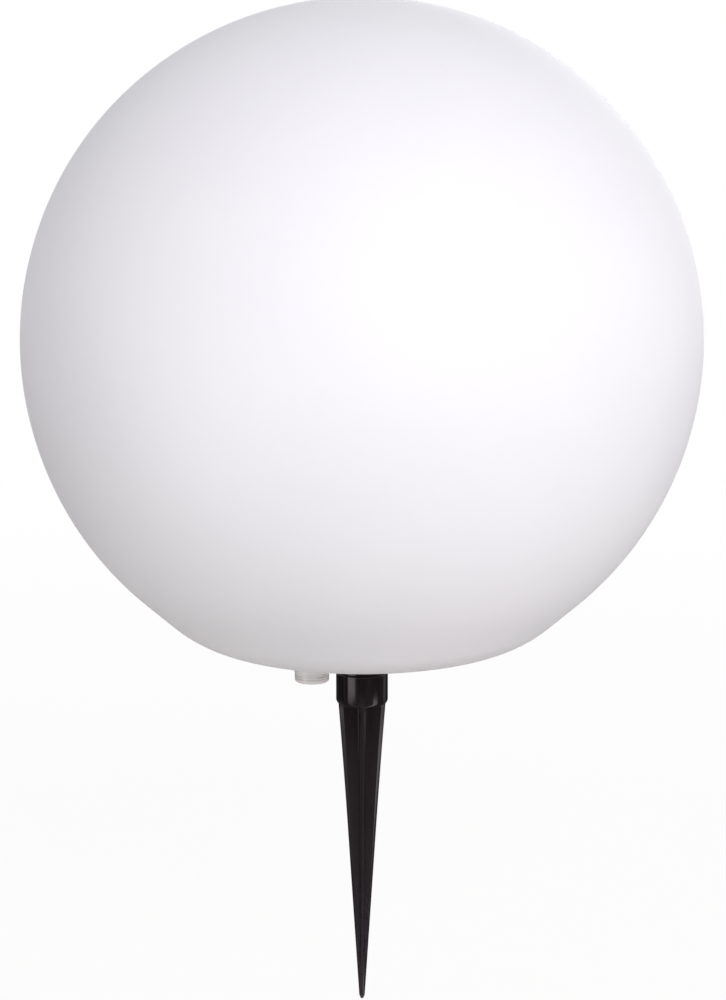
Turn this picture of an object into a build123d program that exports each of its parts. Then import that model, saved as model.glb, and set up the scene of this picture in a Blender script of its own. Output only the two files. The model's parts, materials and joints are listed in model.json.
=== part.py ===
from build123d import *
import math
import os

# Garden globe light on a ground spike. Millimetres, +Z up.
# Origin: on the spike's axis at the ground line, where the collar's lower end meets the soil.
# Every height below is counted from there.

# ---------------------------------------------------------------- driving dimensions

# Globe
globe_radius = 150.0
globe_wall = 2.6
foot_rim = 5.7              # from the plate's recess out to where the ball's sphere would meet its foot
shoulder_slope = 41.0       # degrees from level, where the ball leaves its sphere and runs on straight
foot_round = 52.0           # rounding from that straight run to the foot
neck_height = 8.0           # stiffening rim round the mouth, above the ledge

# Spike
collar_radius = 11.7
collar_length = 15.0
collar_round = 2.5
collar_chamfer = 0.4
socket_floor = 2.6
blade_length = 140.0        # from the ground line to the point
blade_reach = 10.35         # from the axis to a blade's edge, at the collar
blade_thickness = 3.2
blade_bevel = 2.0
blade_edge = 1.0            # flat left on the bevelled edge
tip_reach = 1.25
tip_thickness = 1.7
tip_length = 1.6            # blunted point
blade_turn = 3.0            # degrees that the blades are turned from the front

# Boss and peg
boss_length = 13.0
boss_sink = 1.0             # how far the boss sits in the base plate
peg_radius = 8.0
peg_length = 11.6
peg_chamfer = 1.0
key_width = 3.0
key_height = 1.2
boss_screw_radius = 2.5
boss_screw_length = 15.0
boss_head_radius = 4.6
boss_head_height = 3.0
boss_seal_radius = 8.6
boss_seal_wire = 1.6

# Base plate and gasket
plate_inset = 0.5
plate_thickness = 3.0
plate_edge = 0.6
gasket_thickness = 1.0
ledge_width = 7.5
hub_radius = 13.5
hub_thickness = 3.0
locating_ring_width = 1.8   # ring that centres the housing
locating_ring_height = 3.0
globe_screw_inset = 3.4     # from the mouth's edge out to the captive screws
globe_screw_count = 4
insert_radius = 2.5
insert_length = 6.0
insert_depth = 1.2
boss_wall = 1.7

# Screws, thread radius and head
screw_radius = 1.5
head_radius = 2.8
head_height = 1.9
small_screw_radius = 1.1
small_head_radius = 2.1
small_head_height = 1.4

# Push switch
switch_x = -22.0
switch_channel = 3.45       # room for the leads between the tray and the switch's block
switch_travel = 1.5
cap_radius = 7.75
cap_wall = 0.9
cap_drop = 10.0             # how far the cap hangs below the globe's foot
cap_floor = 1.6
cap_round = 1.2
cap_step = 0.2              # its lower part is this much smaller in radius
cap_step_height = 4.1
grip_low = 1.7              # from the cap's lower end up to the first of its fine grip grooves
grip_pitch = 1.2
grip_count = 2
grip_width = 0.45
grip_depth = 0.2
cap_socket_height = 3.0     # ring inside the cap that holds the plunger's end
cap_socket_wall = 1.4
well_depth = 1.8
barrel_radius = 5.0
barrel_flange = 6.5
barrel_flange_thickness = 2.2
plunger_radius = 2.8
shoulder_radius = 3.7
shoulder_thickness = 1.2
plunger_pin_radius = 1.5
chamber_radius = 4.0
chamber_height = 8.0
switch_seal_thickness = 1.0
switch_pad = 2.0
switch_pad_rim = 2.6        # how far the pad reaches past the cap
switch_nut_height = 3.0
switch_nut_width = 14.0
spring_wire = 0.25
spring_radius = 3.2
spring_turns = 5
block_radius = 6.4
block_height = 8.0
block_chamfer = 0.6
terminal_thickness = 0.8
terminal_width = 2.4
terminal_length = 4.0

# Charging socket and its door
charge_channel = 4.85       # room for the leads between the tray and the charging socket
pocket_half_width = 10.2
pocket_depth = 8.0
pocket_length = 15.4
pocket_wall = 1.6
pocket_roof = 2.0
door_thickness = 1.8
door_knuckle = 1.5
door_pin_radius = 0.75
door_pad_radius = 5.0
door_pad_thickness = 2.3
finger_notch_radius = 4.0
finger_notch_depth = 1.0
socket_radius = 4.0
socket_bore = 2.8
socket_bore_depth = 9.0
socket_pin_inset = 1.0
socket_flange = 5.4
socket_lip = 0.5
socket_pin_radius = 1.0
socket_seal_thickness = 1.0
socket_nut_width = 11.0
socket_nut_height = 3.0
socket_tail_gap = 2.5
socket_tail_radius = 5.0
socket_tail_height = 6.0

# Sealed housing of the light unit
tray_room = 2.7             # from the tray's ears out to the can
switch_room = 0.7           # from the switch nut's corners out to the can
roof_room = 4.4             # from the battery clamps up to the can's roof
housing_wall = 2.2
housing_roof = 2.4
housing_seal_thickness = 1.0
housing_round = 1.5
column_radius = 3.6
column_height = 20.0
column_inset = 7.4          # from the can's outside in to a column's axis
column_rib = 1.6
column_count = 3
housing_screw_length = 12.0

# Control board
board_margin = 2.5          # how much shorter than the cells the board is, at each end
board_width = 34.0
board_corner = 2.0
board_thickness = 1.6
board_lift = 9.5            # standoff height above the base plate
board_hole_inset = 4.0
standoff_radius = 3.2
board_screw_depth = 4.4     # how far its screws go into the standoffs
connector_height = 5.0
connector_depth = 5.0
connector_wall = 2.4        # from a lead's centre to the side of its plug housing
coil_radius = 5.0
coil_height = 4.5
capacitor_radius = 3.1
capacitor_height = 6.5
driver_chip_size = 6.0
charge_chip_size = 7.0
chip_body_height = 1.3
small_part_length = 1.8
small_part_width = 1.2
small_part_height = 0.8
small_part_pitch = 3.2
small_part_count = 5

# Battery
cell_radius = 9.2
cell_length = 65.0
cell_gap = 0.8              # between the two cells
tab_thickness = 0.4
tab_height = 7.0
tab_width = 8.0
tray_lift = 21.5            # underside of the tray above the base plate
tray_floor = 2.0
tray_wall = 1.2
tray_height = 10.0
tray_end_gap = 1.2
tray_end_wall = 1.8
tray_corner = 2.0
tray_ear = 8.0
tray_ear_width = 9.0
tray_ear_thickness = 3.0
tray_screw_depth = 5.0
clamp_screw_depth = 5.0
clamp_x = 12.0
clamp_width = 8.0
clamp_wall = 1.9
clamp_foot = 5.2
clamp_foot_thickness = 2.0

# Light source and lens
spreader_gap = 0.7          # between the lens seal and the heat spreader
spreader_thickness = 3.0
light_board_inset = 3.5     # how much smaller than the spreader the light board is
light_board_thickness = 1.6
chip_size = 5.0
chip_height = 1.0
chip_lens_radius = 1.9
chip_lens_height = 0.5
outer_chip_inset = 9.0      # from the light board's edge in to the outer circle of chips
outer_chip_count = 12
inner_chip_circle = 9.0
inner_chip_count = 3
board_screw_circle = 16.0
board_screw_count = 3
board_screw_length = 8.4
roof_boss_radius = 3.0
roof_boss_height = 3.0
rim_width = 5.8
lens_groove = 2.4
lens_flange_thickness = 2.0
lens_wall = 2.0
lens_height = 22.0
lens_seal_thickness = 1.0
ring_thickness = 2.8
lens_screw_inset = 3.2
lens_screw_count = 6
lens_screw_length = 10.0
lens_head_sink = 1.4

# Leads
lead_radius = 0.7
lead_gap = 1.6              # half the distance between the two leads of a pair
lead_bend = 2.4
battery_lead_bend = 1.6
lead_rise = 6.0             # how far the leads rise above the terminals
terminal_spread = 0.6
light_lead_inset = 11.0     # from the board's end in to the light board's leads
lead_side_gap = 2.3         # from the tray's side out to the leads that pass it
switch_lead_shift = 3.0
battery_lead_y = 6.0

# Clearances
fit = 0.08                  # radial clearance of a sliding peg or pin
thread_gap = 0.05           # radial clearance of a screw in its threaded hole
play = 0.3                  # clearance between parts that move past each other
seat_gap = 0.1              # between the globe's ledge and the gasket it rests on
hole_gap = 0.15             # radial clearance of a through hole

# ---------------------------------------------------------------- heights that follow

foot_z = collar_length + boss_length
plate_low = foot_z + plate_inset
plate_top = plate_low + plate_thickness
ledge_z = plate_top + gasket_thickness + seat_gap

cell_y = cell_radius + cell_gap / 2
cradle_radius = cell_radius + play / 2
tray_half_length = cell_length / 2 + tray_end_gap + tray_end_wall
tray_half_width = cell_y + cradle_radius + tray_wall
ear_x = tray_half_length + tray_ear / 2
tray_z = plate_top + tray_lift
tray_top = tray_z + tray_height
cell_z = tray_z + tray_floor + cradle_radius

switch_y = -(tray_half_width + switch_channel + block_radius)
charge_y = tray_half_width + charge_channel + socket_tail_radius
switch_reach = math.hypot(switch_x, switch_y) + switch_nut_width / math.sqrt(3)
tray_reach = tray_half_length + tray_ear
housing_inner = max(tray_reach + tray_room, switch_reach + switch_room)
housing_radius = housing_inner + housing_wall
column_circle = housing_radius - column_inset

mouth_radius = housing_radius + 2 * play
recess_radius = mouth_radius + ledge_width
plate_radius = recess_radius - play
foot_radius = recess_radius + foot_rim
globe_z = foot_z + math.sqrt(globe_radius**2 - foot_radius**2)
globe_screw_circle = mouth_radius + globe_screw_inset
screw_seat = plate_low + head_height + 0.1
globe_screw_end = ledge_z + insert_depth + insert_length - play
hub_top = plate_top + hub_thickness

well_roof = plate_low + well_depth
cap_top = well_roof - switch_travel - 2 * play
cap_low = foot_z - cap_drop
cap_inside = cap_low + cap_floor
pad_top = plate_top + switch_pad
flange_top = well_roof - switch_seal_thickness
barrel_low = cap_inside + cap_socket_height + switch_travel + play
chamber_floor = pad_top + 0.5
barrel_top = chamber_floor + chamber_height
shoulder_low = chamber_floor + play
shoulder_top = shoulder_low + shoulder_thickness
block_top = barrel_top + block_height

pocket_top = plate_low + pocket_depth
pocket_roof_top = pocket_top + pocket_roof
pocket_low_y = charge_y - pocket_length / 2
pocket_high_y = charge_y + pocket_length / 2
hinge_y = pocket_low_y + door_knuckle + play + 0.1
hinge_z = plate_low + door_knuckle
door_top = plate_low + door_thickness
pad_end = door_top + door_pad_thickness
socket_mouth = pad_end + play
socket_flange_top = pocket_top - socket_seal_thickness
socket_tail_low = pocket_roof_top + socket_nut_height + socket_tail_gap
socket_tail_top = socket_tail_low + socket_tail_height

housing_low = plate_top + housing_seal_thickness
roof_low = cell_z + cradle_radius + clamp_wall + roof_room
housing_top = roof_low + housing_roof
rim_top = housing_top + lens_seal_thickness
rim_inner = housing_radius - rim_width
lens_flange_top = rim_top + lens_flange_thickness
lens_screw_circle = housing_radius - lens_screw_inset
ring_top = lens_flange_top + ring_thickness
spreader_top = housing_top + spreader_thickness
spreader_radius = rim_inner - lens_groove - spreader_gap
light_board_top = spreader_top + light_board_thickness
light_board_radius = spreader_radius - light_board_inset
outer_chip_circle = light_board_radius - outer_chip_inset

board_length = cell_length - 2 * board_margin
board_z = plate_top + board_lift
board_top = board_z + board_thickness
lead_z = board_top + connector_height / 2
light_lead_x = board_length / 2 - light_lead_inset
lead_side_y = tray_half_width + lead_side_gap

# ---------------------------------------------------------------- shared shapes


def rod(radius, low, high, x=0.0, y=0.0):
    """Upright cylinder between two heights."""
    return Pos(x, y, (low + high) / 2) * Cylinder(radius, high - low)


def ring(outer, inner, low, high, x=0.0, y=0.0):
    """Upright tube between two heights."""
    return rod(outer, low, high, x, y) - rod(inner, low - 1, high + 1, x, y)


def block(x_range, y_range, z_range):
    """Box between two values on each axis."""
    size = [high - low for low, high in (x_range, y_range, z_range)]
    middle = [(high + low) / 2 for low, high in (x_range, y_range, z_range)]
    return Pos(*middle) * Box(*size)


def cross_rod(radius, x_range, y, z):
    """Cylinder along X."""
    length = x_range[1] - x_range[0]
    return Pos((x_range[0] + x_range[1]) / 2, y, z) * Rot(0, 90, 0) * Cylinder(radius, length)


def on_circle(radius, count, start=0.0):
    """Points evenly spaced on a circle, as x and y, from an angle in degrees."""
    turns = [math.radians(start + 360.0 * i / count) for i in range(count)]
    return [(radius * math.cos(turn), radius * math.sin(turn)) for turn in turns]


def globe_screw_points():
    return on_circle(globe_screw_circle, globe_screw_count, 45.0)


def column_points():
    return on_circle(column_circle, column_count, 30.0)


def lens_screw_points():
    return on_circle(lens_screw_circle, lens_screw_count, 0.0)


def board_screw_points():
    return on_circle(board_screw_circle, board_screw_count, 90.0)


def standoff_points():
    x = board_length / 2 - board_hole_inset
    y = board_width / 2 - board_hole_inset
    return [(x, y), (-x, y), (-x, -y), (x, -y)]


def clamp_screw_points():
    y = tray_half_width + clamp_foot - small_head_radius - 0.2
    return [(x, side * y) for x in (-clamp_x, clamp_x) for side in (-1, 1)]


def screw(radius, length, head, head_height, x, y, seat, up):
    """Round-headed screw: its head bears at the height seat and its shank points up or down."""
    slot_width = 0.4 * head
    body = rod(radius, 0, length) + rod(head, -head_height, 0)
    rounded = fillet(body.edges().sort_by(Axis.Z)[0], 0.45 * head_height)
    slot_low = -head_height - 0.1
    slot_reach = 0.62 * head
    slot_depth = (slot_low, -0.5 * head_height)
    slot = block((-slot_reach, slot_reach), (-slot_width / 2, slot_width / 2), slot_depth)
    rounded = rounded - slot - Rot(0, 0, 90) * slot
    return Pos(x, y, seat) * (rounded if up else Rot(180, 0, 0) * rounded)


def small_screw(length, x, y, seat):
    """Small screw that points down."""
    return screw(small_screw_radius, length, small_head_radius, small_head_height, x, y, seat, up=False)


def plate_screw(length, x, y):
    """Screw that points up from its sunk seat in the base plate."""
    return screw(screw_radius, length, head_radius, head_height, x, y, screw_seat, up=True)


def hex_nut(width, bore, low, high, x, y):
    """Hexagon nut, given across its flats."""
    outline = Plane.XY.offset(low) * Pos(x, y) * RegularPolygon(width / 2, 6, major_radius=False)
    return extrude(outline, high - low) - rod(bore, low - 1, high + 1, x, y)


def lead(points, bend):
    """Round lead along straight runs joined by arcs."""
    if len(points) == 2:
        path = Line(*points)
    else:
        path = FilletPolyline(*points, radius=bend)
    return sweep(Plane(origin=path @ 0, z_dir=path % 0) * Circle(lead_radius), path=path)


# ---------------------------------------------------------------- spike


def blade_outline(reach, thickness, bevel, edge):
    """Outline of four crossed blades, each bevelled to a narrow edge."""
    half = thickness / 2
    arm = [
        (half, -half),
        (reach - bevel, -half),
        (reach, -edge / 2),
        (reach, edge / 2),
        (reach - bevel, half),
    ]
    points = []
    for quarter in range(4):
        turn = math.radians(90 * quarter)
        cosine = math.cos(turn)
        sine = math.sin(turn)
        points += [(x * cosine - y * sine, x * sine + y * cosine) for x, y in arm]
    return make_face(Polyline(*points, close=True))


def blades():
    """Blades that taper from the collar to a blunt point."""
    tip_bevel = (tip_reach - tip_thickness / 2) / 2
    tip_edge = tip_thickness / 2
    collar_outline = blade_outline(blade_reach, blade_thickness, blade_bevel, blade_edge)
    tip_outline = blade_outline(tip_reach, tip_thickness, tip_bevel, tip_edge)
    end_outline = blade_outline(tip_reach / 2, tip_thickness / 2, tip_bevel / 2, tip_edge / 2)
    top = Plane.XY.offset(collar_round) * collar_outline
    low = Plane.XY.offset(tip_length - blade_length) * tip_outline
    end = Plane.XY.offset(-blade_length) * end_outline
    return loft([top, low], ruled=True) + loft([low, end], ruled=True)


def ground_spike():
    """Spike with a keyed round socket in its collar."""
    collar = rod(collar_radius, 0, collar_length)
    collar = fillet(collar.edges().sort_by(Axis.Z)[0], collar_round)
    collar = chamfer(collar.edges().sort_by(Axis.Z)[-1], collar_chamfer)
    socket = rod(peg_radius + fit, socket_floor, collar_length + 1)
    keyway = block(
        (-key_width / 2 - fit, key_width / 2 + fit),
        (0, peg_radius + key_height + fit),
        (socket_floor, collar_length + 1),
    )
    return collar + Rot(0, 0, blade_turn) * blades() - socket - keyway


# ---------------------------------------------------------------- boss


def spike_boss():
    """Boss under the base plate, with the keyed peg that stands in the spike's socket."""
    low = collar_length + seat_gap
    top = plate_low + boss_sink
    boss = rod(collar_radius, low, top)
    boss = chamfer(boss.edges().sort_by(Axis.Z)[0], collar_chamfer)
    peg = rod(peg_radius, low - peg_length, low + 1)
    peg = chamfer(peg.edges().sort_by(Axis.Z)[0], peg_chamfer)
    key = block(
        (-key_width / 2, key_width / 2),
        (0, peg_radius + key_height),
        (low - peg_length + peg_chamfer, low + 1),
    )
    groove = seal_ring(top + 1)
    screw_end = hub_top - boss_screw_length
    screw_hole = rod(boss_screw_radius + thread_gap, screw_end - 1, top + 1)
    return boss + peg + key - groove - screw_hole


def seal_ring(high):
    """Ring that starts at the floor of the boss's top groove."""
    half = boss_seal_wire / 2
    low = plate_low + boss_sink - boss_seal_wire
    return ring(boss_seal_radius + half, boss_seal_radius - half, low, high)


def boss_seal():
    """Sealing ring in the boss's top groove."""
    return seal_ring(plate_low + boss_sink)


def boss_screw():
    """Screw through the base plate's hub down into the boss."""
    return screw(
        boss_screw_radius, boss_screw_length, boss_head_radius, boss_head_height, 0, 0, hub_top, up=False
    )


# ---------------------------------------------------------------- globe


def flat_footed_ball(radius, foot, rounding):
    """Ball whose sphere runs on straight at its shoulder, then rounds into a flat at the height foot."""
    slope = math.radians(shoulder_slope)
    top = Vector(0, globe_z + radius)
    shoulder = Vector(radius * math.sin(slope), globe_z - radius * math.cos(slope))
    run = (shoulder.Y - foot) / math.sin(slope) - rounding * math.tan(slope / 2)
    run_end = shoulder - Vector(math.cos(slope), math.sin(slope)) * run
    flat_end = Vector(run_end.X - rounding * math.sin(slope), foot)
    bend = flat_end + Vector(math.sin(slope / 2), 1 - math.cos(slope / 2)) * rounding
    outline = [
        ThreePointArc(top, Vector(radius, globe_z), shoulder),
        Line(shoulder, run_end),
        ThreePointArc(run_end, bend, flat_end),
        Line(flat_end, Vector(0, foot)),
        Line(Vector(0, foot), top),
    ]
    return revolve(Plane.XZ * make_face(outline), Axis.Z)


def globe_shell():
    """Moulded globe: thin ball, flat foot, recess and ledge for the base plate, neck and screw bosses."""
    outside = flat_footed_ball(globe_radius, foot_z, foot_round)
    inside = flat_footed_ball(globe_radius - globe_wall, foot_z + globe_wall, foot_round - globe_wall)
    shell = outside - inside
    ledge_top = ledge_z + globe_wall
    mouth = rod(recess_radius + globe_wall, foot_z, ledge_top)
    mouth += rod(mouth_radius + globe_wall, foot_z, ledge_top + neck_height)
    boss_top = ledge_z + insert_depth + insert_length + boss_wall
    for x, y in globe_screw_points():
        mouth += rod(insert_radius + boss_wall, foot_z, boss_top, x, y)
    shell += mouth & outside
    shell -= rod(recess_radius, foot_z - 1, ledge_z)
    shell -= rod(mouth_radius, foot_z - 1, boss_top + neck_height)
    for x, y in globe_screw_points():
        shell -= rod(screw_radius + 2 * hole_gap, foot_z, ledge_z + insert_depth + 1, x, y)
        shell -= rod(insert_radius, ledge_z + insert_depth, ledge_z + insert_depth + insert_length, x, y)
    return shell


def thread_inserts():
    """Brass inserts in the globe's screw bosses."""
    low = ledge_z + insert_depth
    return Compound(
        [
            ring(insert_radius, screw_radius + hole_gap, low, low + insert_length, x, y).solid()
            for x, y in globe_screw_points()
        ]
    )


# ---------------------------------------------------------------- base plate


def pocket_walls():
    """Outside of the charging pocket, standing on the base plate."""
    half = pocket_half_width + pocket_wall
    y_range = (pocket_low_y - pocket_wall, pocket_high_y + pocket_wall)
    body = block((-half, half), y_range, (plate_low, pocket_roof_top))
    return fillet(body.edges().filter_by(Axis.Z), pocket_wall)


def base_plate():
    """Plate that closes the globe's mouth and carries everything below and inside it."""
    plate = rod(plate_radius, plate_low, plate_top)
    plate = fillet(plate.edges().sort_by(Axis.Z)[0], plate_edge)
    plate += rod(hub_radius, plate_low, hub_top)
    inner = housing_inner - play
    pad_radius = cap_radius + switch_pad_rim
    ring_end = housing_low + locating_ring_height
    plate += ring(inner, inner - locating_ring_width, plate_low, ring_end)
    plate -= rod(pad_radius, plate_top, ring_end + 1, switch_x, switch_y)
    plate += rod(pad_radius, plate_low, pad_top, switch_x, switch_y) & rod(inner, plate_low, pad_top)
    plate += pocket_walls()
    for x, y in standoff_points():
        plate += rod(standoff_radius, plate_low, board_z, x, y)
    for x in (-ear_x, ear_x):
        plate += rod(standoff_radius, plate_low, tray_z, x, 0)
    for x, y in column_points():
        plate -= rod(column_radius + play, plate_top, ring_end + 1, x, y)
    return plate - base_plate_holes()


def base_plate_holes():
    """Everything that is cut out of the base plate."""
    holes = rod(collar_radius + hole_gap, plate_low - 1, plate_low + boss_sink)
    holes += rod(boss_screw_radius + hole_gap, plate_low - 1, hub_top + 1)
    holes += rod(cap_radius + 2 * play, plate_low - 1, well_roof, switch_x, switch_y)
    holes += rod(barrel_radius + hole_gap, plate_low, pad_top + 1, switch_x, switch_y)
    pocket_x = (-pocket_half_width, pocket_half_width)
    holes += block(pocket_x, (pocket_low_y, pocket_high_y), (plate_low - 1, pocket_top))
    holes += rod(socket_radius + hole_gap, pocket_top - 1, pocket_roof_top + 1, 0, charge_y)
    holes += cross_rod(door_pin_radius + thread_gap, pin_span(), hinge_y, hinge_z)
    holes += Pos(0, pocket_high_y, plate_low) * Cylinder(finger_notch_radius, 2 * finger_notch_depth)
    for x, y in standoff_points():
        holes += rod(small_screw_radius + thread_gap, plate_top, board_z + 1, x, y)
    for x in (-ear_x, ear_x):
        holes += rod(small_screw_radius + thread_gap, plate_top, tray_z + 1, x, 0)
    for x, y in column_points() + globe_screw_points():
        holes += rod(screw_radius + hole_gap, plate_low - 1, plate_top + 1, x, y)
        holes += rod(head_radius + play, plate_low - 1, screw_seat, x, y)
    return holes


def globe_gasket():
    """Flat gasket on the plate's rim, under the globe's ledge."""
    gasket = ring(plate_radius - play, mouth_radius - play, plate_top, plate_top + gasket_thickness)
    for x, y in globe_screw_points():
        gasket -= rod(2 * screw_radius + hole_gap, plate_top - 1, ledge_z, x, y)
    return gasket


def screw_retainers():
    """Washers that keep the globe's screws in the plate when they are undone."""
    top = plate_top + 0.6 * gasket_thickness
    return Compound(
        [
            ring(2 * screw_radius, screw_radius + thread_gap, plate_top, top, x, y).solid()
            for x, y in globe_screw_points()
        ]
    )


def globe_screws():
    """Captive screws that hold the globe on the base plate."""
    length = globe_screw_end - screw_seat
    return Compound(
        [
            plate_screw(length, x, y).solid()
            for x, y in globe_screw_points()
        ]
    )


# ---------------------------------------------------------------- push switch


def switch_cap():
    """White cap that is pressed: stepped side, fine grip grooves, rounded lower corner, hollow from above."""
    lower = rod(cap_radius - cap_step, cap_low, cap_low + cap_step_height, switch_x, switch_y)
    lower = fillet(lower.edges().sort_by(Axis.Z)[0], cap_round)
    upper = rod(cap_radius, cap_low + cap_step_height, cap_top, switch_x, switch_y)
    upper = chamfer(upper.edges().sort_by(Axis.Z)[0], cap_step)
    groove_floor = cap_radius - cap_step - grip_depth
    for groove in range(grip_count):
        low = cap_low + grip_low + grip_pitch * groove
        lower -= ring(cap_radius + 1, groove_floor, low, low + grip_width, switch_x, switch_y)
    cap = lower + upper
    cap -= rod(cap_radius - cap_wall, cap_inside, cap_top + 1, switch_x, switch_y)
    socket_top = cap_inside + cap_socket_height
    inner = plunger_radius + thread_gap
    return cap + ring(inner + cap_socket_wall, inner, cap_inside - 0.1, socket_top, switch_x, switch_y)


def switch_plunger():
    """Plunger under the cap, with the shoulder that keeps it in the barrel."""
    plunger = rod(plunger_radius, cap_inside, shoulder_low, switch_x, switch_y)
    plunger += rod(shoulder_radius, shoulder_low, shoulder_top, switch_x, switch_y)
    plunger += rod(plunger_pin_radius, shoulder_top, barrel_top - switch_travel - play, switch_x, switch_y)
    return plunger


def switch_spring():
    """Return spring between the plunger's shoulder and the contact block."""
    low = shoulder_top + spring_wire
    height = barrel_top - spring_wire - low
    coil = Helix(height / spring_turns, height, spring_radius)
    wire = sweep(Plane(origin=coil @ 0, z_dir=coil % 0) * Circle(spring_wire), path=coil, is_frenet=True)
    return Pos(switch_x, switch_y, low) * wire


def switch_barrel():
    """Threaded barrel with its flange below the plate, a guide bore and the spring's chamber."""
    barrel = rod(barrel_radius, barrel_low, barrel_top, switch_x, switch_y)
    flange_low = flange_top - barrel_flange_thickness
    barrel += rod(barrel_flange, flange_low, flange_top, switch_x, switch_y)
    barrel -= rod(plunger_radius + fit, barrel_low - 1, chamber_floor + 1, switch_x, switch_y)
    barrel -= rod(chamber_radius, chamber_floor, barrel_top + 1, switch_x, switch_y)
    return barrel


def switch_seal():
    """Sealing washer between the barrel's flange and the plate."""
    return ring(barrel_flange, barrel_radius + hole_gap, flange_top, well_roof, switch_x, switch_y)


def switch_nut():
    """Nut that clamps the barrel to the plate."""
    top = pad_top + switch_nut_height
    return hex_nut(switch_nut_width, barrel_radius + thread_gap, pad_top, top, switch_x, switch_y)


def switch_block():
    """Contact block on top of the barrel."""
    body = rod(block_radius, barrel_top, block_top, switch_x, switch_y)
    return chamfer(body.edges().sort_by(Axis.Z)[-1], block_chamfer)


def terminal_pair(x, y, low):
    """Two flat solder terminals."""
    half = terminal_thickness / 2
    y_range = (y - terminal_width / 2, y + terminal_width / 2)
    terminals = []
    for side in (-1, 1):
        centre = x + side * (lead_gap + terminal_spread)
        body = block((centre - half, centre + half), y_range, (low, low + terminal_length))
        terminals.append(body.solid())
    return Compound(terminals)


def switch_terminals():
    return terminal_pair(switch_x, switch_y, block_top)


# ---------------------------------------------------------------- charging socket


def charge_door():
    """Door over the charging pocket, with two knuckles on its hinge side."""
    half = pocket_half_width - play
    end = pocket_high_y - play - 0.1
    door = block((-half, half), (hinge_y, end), (plate_low, door_top))
    corners = door.edges().filter_by(Axis.Z).group_by(Axis.Y)[-1]
    door = fillet(corners, 1.2)
    for side in (-1, 1):
        ends = sorted((side * half, side * 0.5 * half))
        door += cross_rod(door_knuckle, ends, hinge_y, hinge_z)
    return door - cross_rod(door_pin_radius + fit, (-half - 1, half + 1), hinge_y, hinge_z)


def pin_span():
    """Where the hinge pin starts and ends, a little way into the pocket's walls."""
    return (-pocket_half_width - 1, pocket_half_width + 1)


def door_pin():
    """Hinge pin of the charging door."""
    return cross_rod(door_pin_radius, pin_span(), hinge_y, hinge_z)


def door_pad():
    """Rubber pad on the door's inside that covers the socket's mouth."""
    pad = rod(door_pad_radius, door_top, pad_end, 0, charge_y)
    return chamfer(pad.edges().sort_by(Axis.Z)[-1], 0.5)


def charge_socket():
    """Round charging socket with its flange inside the pocket."""
    body = rod(socket_radius, socket_mouth, socket_tail_low, 0, charge_y)
    body += rod(socket_flange, socket_mouth + socket_lip, socket_flange_top, 0, charge_y)
    body += rod(socket_tail_radius, socket_tail_low, socket_tail_top, 0, charge_y)
    return body - rod(socket_bore, socket_mouth - 1, socket_mouth + socket_bore_depth, 0, charge_y)


def charge_pin():
    """Centre contact of the charging socket."""
    low = socket_mouth + socket_pin_inset
    pin = rod(socket_pin_radius, low, socket_mouth + socket_bore_depth, 0, charge_y)
    return fillet(pin.edges().sort_by(Axis.Z)[0], socket_pin_radius / 2)


def charge_seal():
    """Sealing washer between the socket's flange and the pocket's roof."""
    return ring(socket_flange, socket_radius + hole_gap, socket_flange_top, pocket_top, 0, charge_y)


def charge_nut():
    """Nut that clamps the charging socket."""
    top = pocket_roof_top + socket_nut_height
    return hex_nut(socket_nut_width, socket_radius + thread_gap, pocket_roof_top, top, 0, charge_y)


def charge_terminals():
    return terminal_pair(0, charge_y, socket_tail_top)


# ---------------------------------------------------------------- housing


def unit_housing():
    """Upturned can over the battery and the board, with screw columns and a raised rim for the lens."""
    can = rod(housing_radius, housing_low, rim_top)
    can = fillet(can.edges().sort_by(Axis.Z)[-1], housing_round)
    can -= rod(housing_inner, housing_low - 1, roof_low)
    can -= rod(rim_inner, housing_top, rim_top + 1)
    for x, y in column_points():
        can += rod(column_radius, housing_low, housing_low + column_height, x, y)
        turn = math.degrees(math.atan2(y, x))
        rib_z = (housing_low + column_height / 4, housing_low + column_height)
        rib = block((column_circle, housing_inner + 0.5), (-column_rib / 2, column_rib / 2), rib_z)
        can += Rot(0, 0, turn) * rib
        can -= rod(screw_radius + thread_gap, housing_low - 1, housing_low + column_height - 2, x, y)
    for x, y in lens_screw_points():
        can += rod(screw_radius + 1.5, rim_top - lens_screw_length, roof_low + 0.5, x, y)
        can -= rod(screw_radius + thread_gap, rim_top - lens_screw_length + 1, rim_top + 1, x, y)
    for x, y in board_screw_points():
        can += rod(roof_boss_radius, roof_low - roof_boss_height, roof_low + 0.5, x, y)
        can -= rod(small_screw_radius + thread_gap, roof_low - roof_boss_height - 1, housing_top + 1, x, y)
    return can - lead_hole(roof_low - 1, housing_top + 1)


def lead_hole(low, high):
    """Hole that the two leads of the light board pass through."""
    wide = lead_radius + 2 * play
    hole = rod(wide, low, high, light_lead_x - lead_gap, -lead_side_y)
    hole += rod(wide, low, high, light_lead_x + lead_gap, -lead_side_y)
    span = (light_lead_x - lead_gap, light_lead_x + lead_gap)
    return hole + block(span, (-lead_side_y - wide, -lead_side_y + wide), (low, high))


def housing_seal():
    """Flat ring under the can's rim."""
    outer = housing_radius - play / 2
    inner = housing_inner + play / 2
    return ring(outer, inner, plate_top, housing_low)


def housing_screws():
    """Screws up through the plate into the can's columns."""
    return Compound(
        [
            plate_screw(housing_screw_length, x, y).solid()
            for x, y in column_points()
        ]
    )


# ---------------------------------------------------------------- control board


def control_board():
    """Charge and control board on its standoffs."""
    half_x = board_length / 2
    half_y = board_width / 2
    board = block((-half_x, half_x), (-half_y, half_y), (board_z, board_top))
    board = fillet(board.edges().filter_by(Axis.Z), board_corner)
    for x, y in standoff_points():
        board -= rod(small_screw_radius + hole_gap, board_z - 1, board_top + 1, x, y)
    return board


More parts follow.
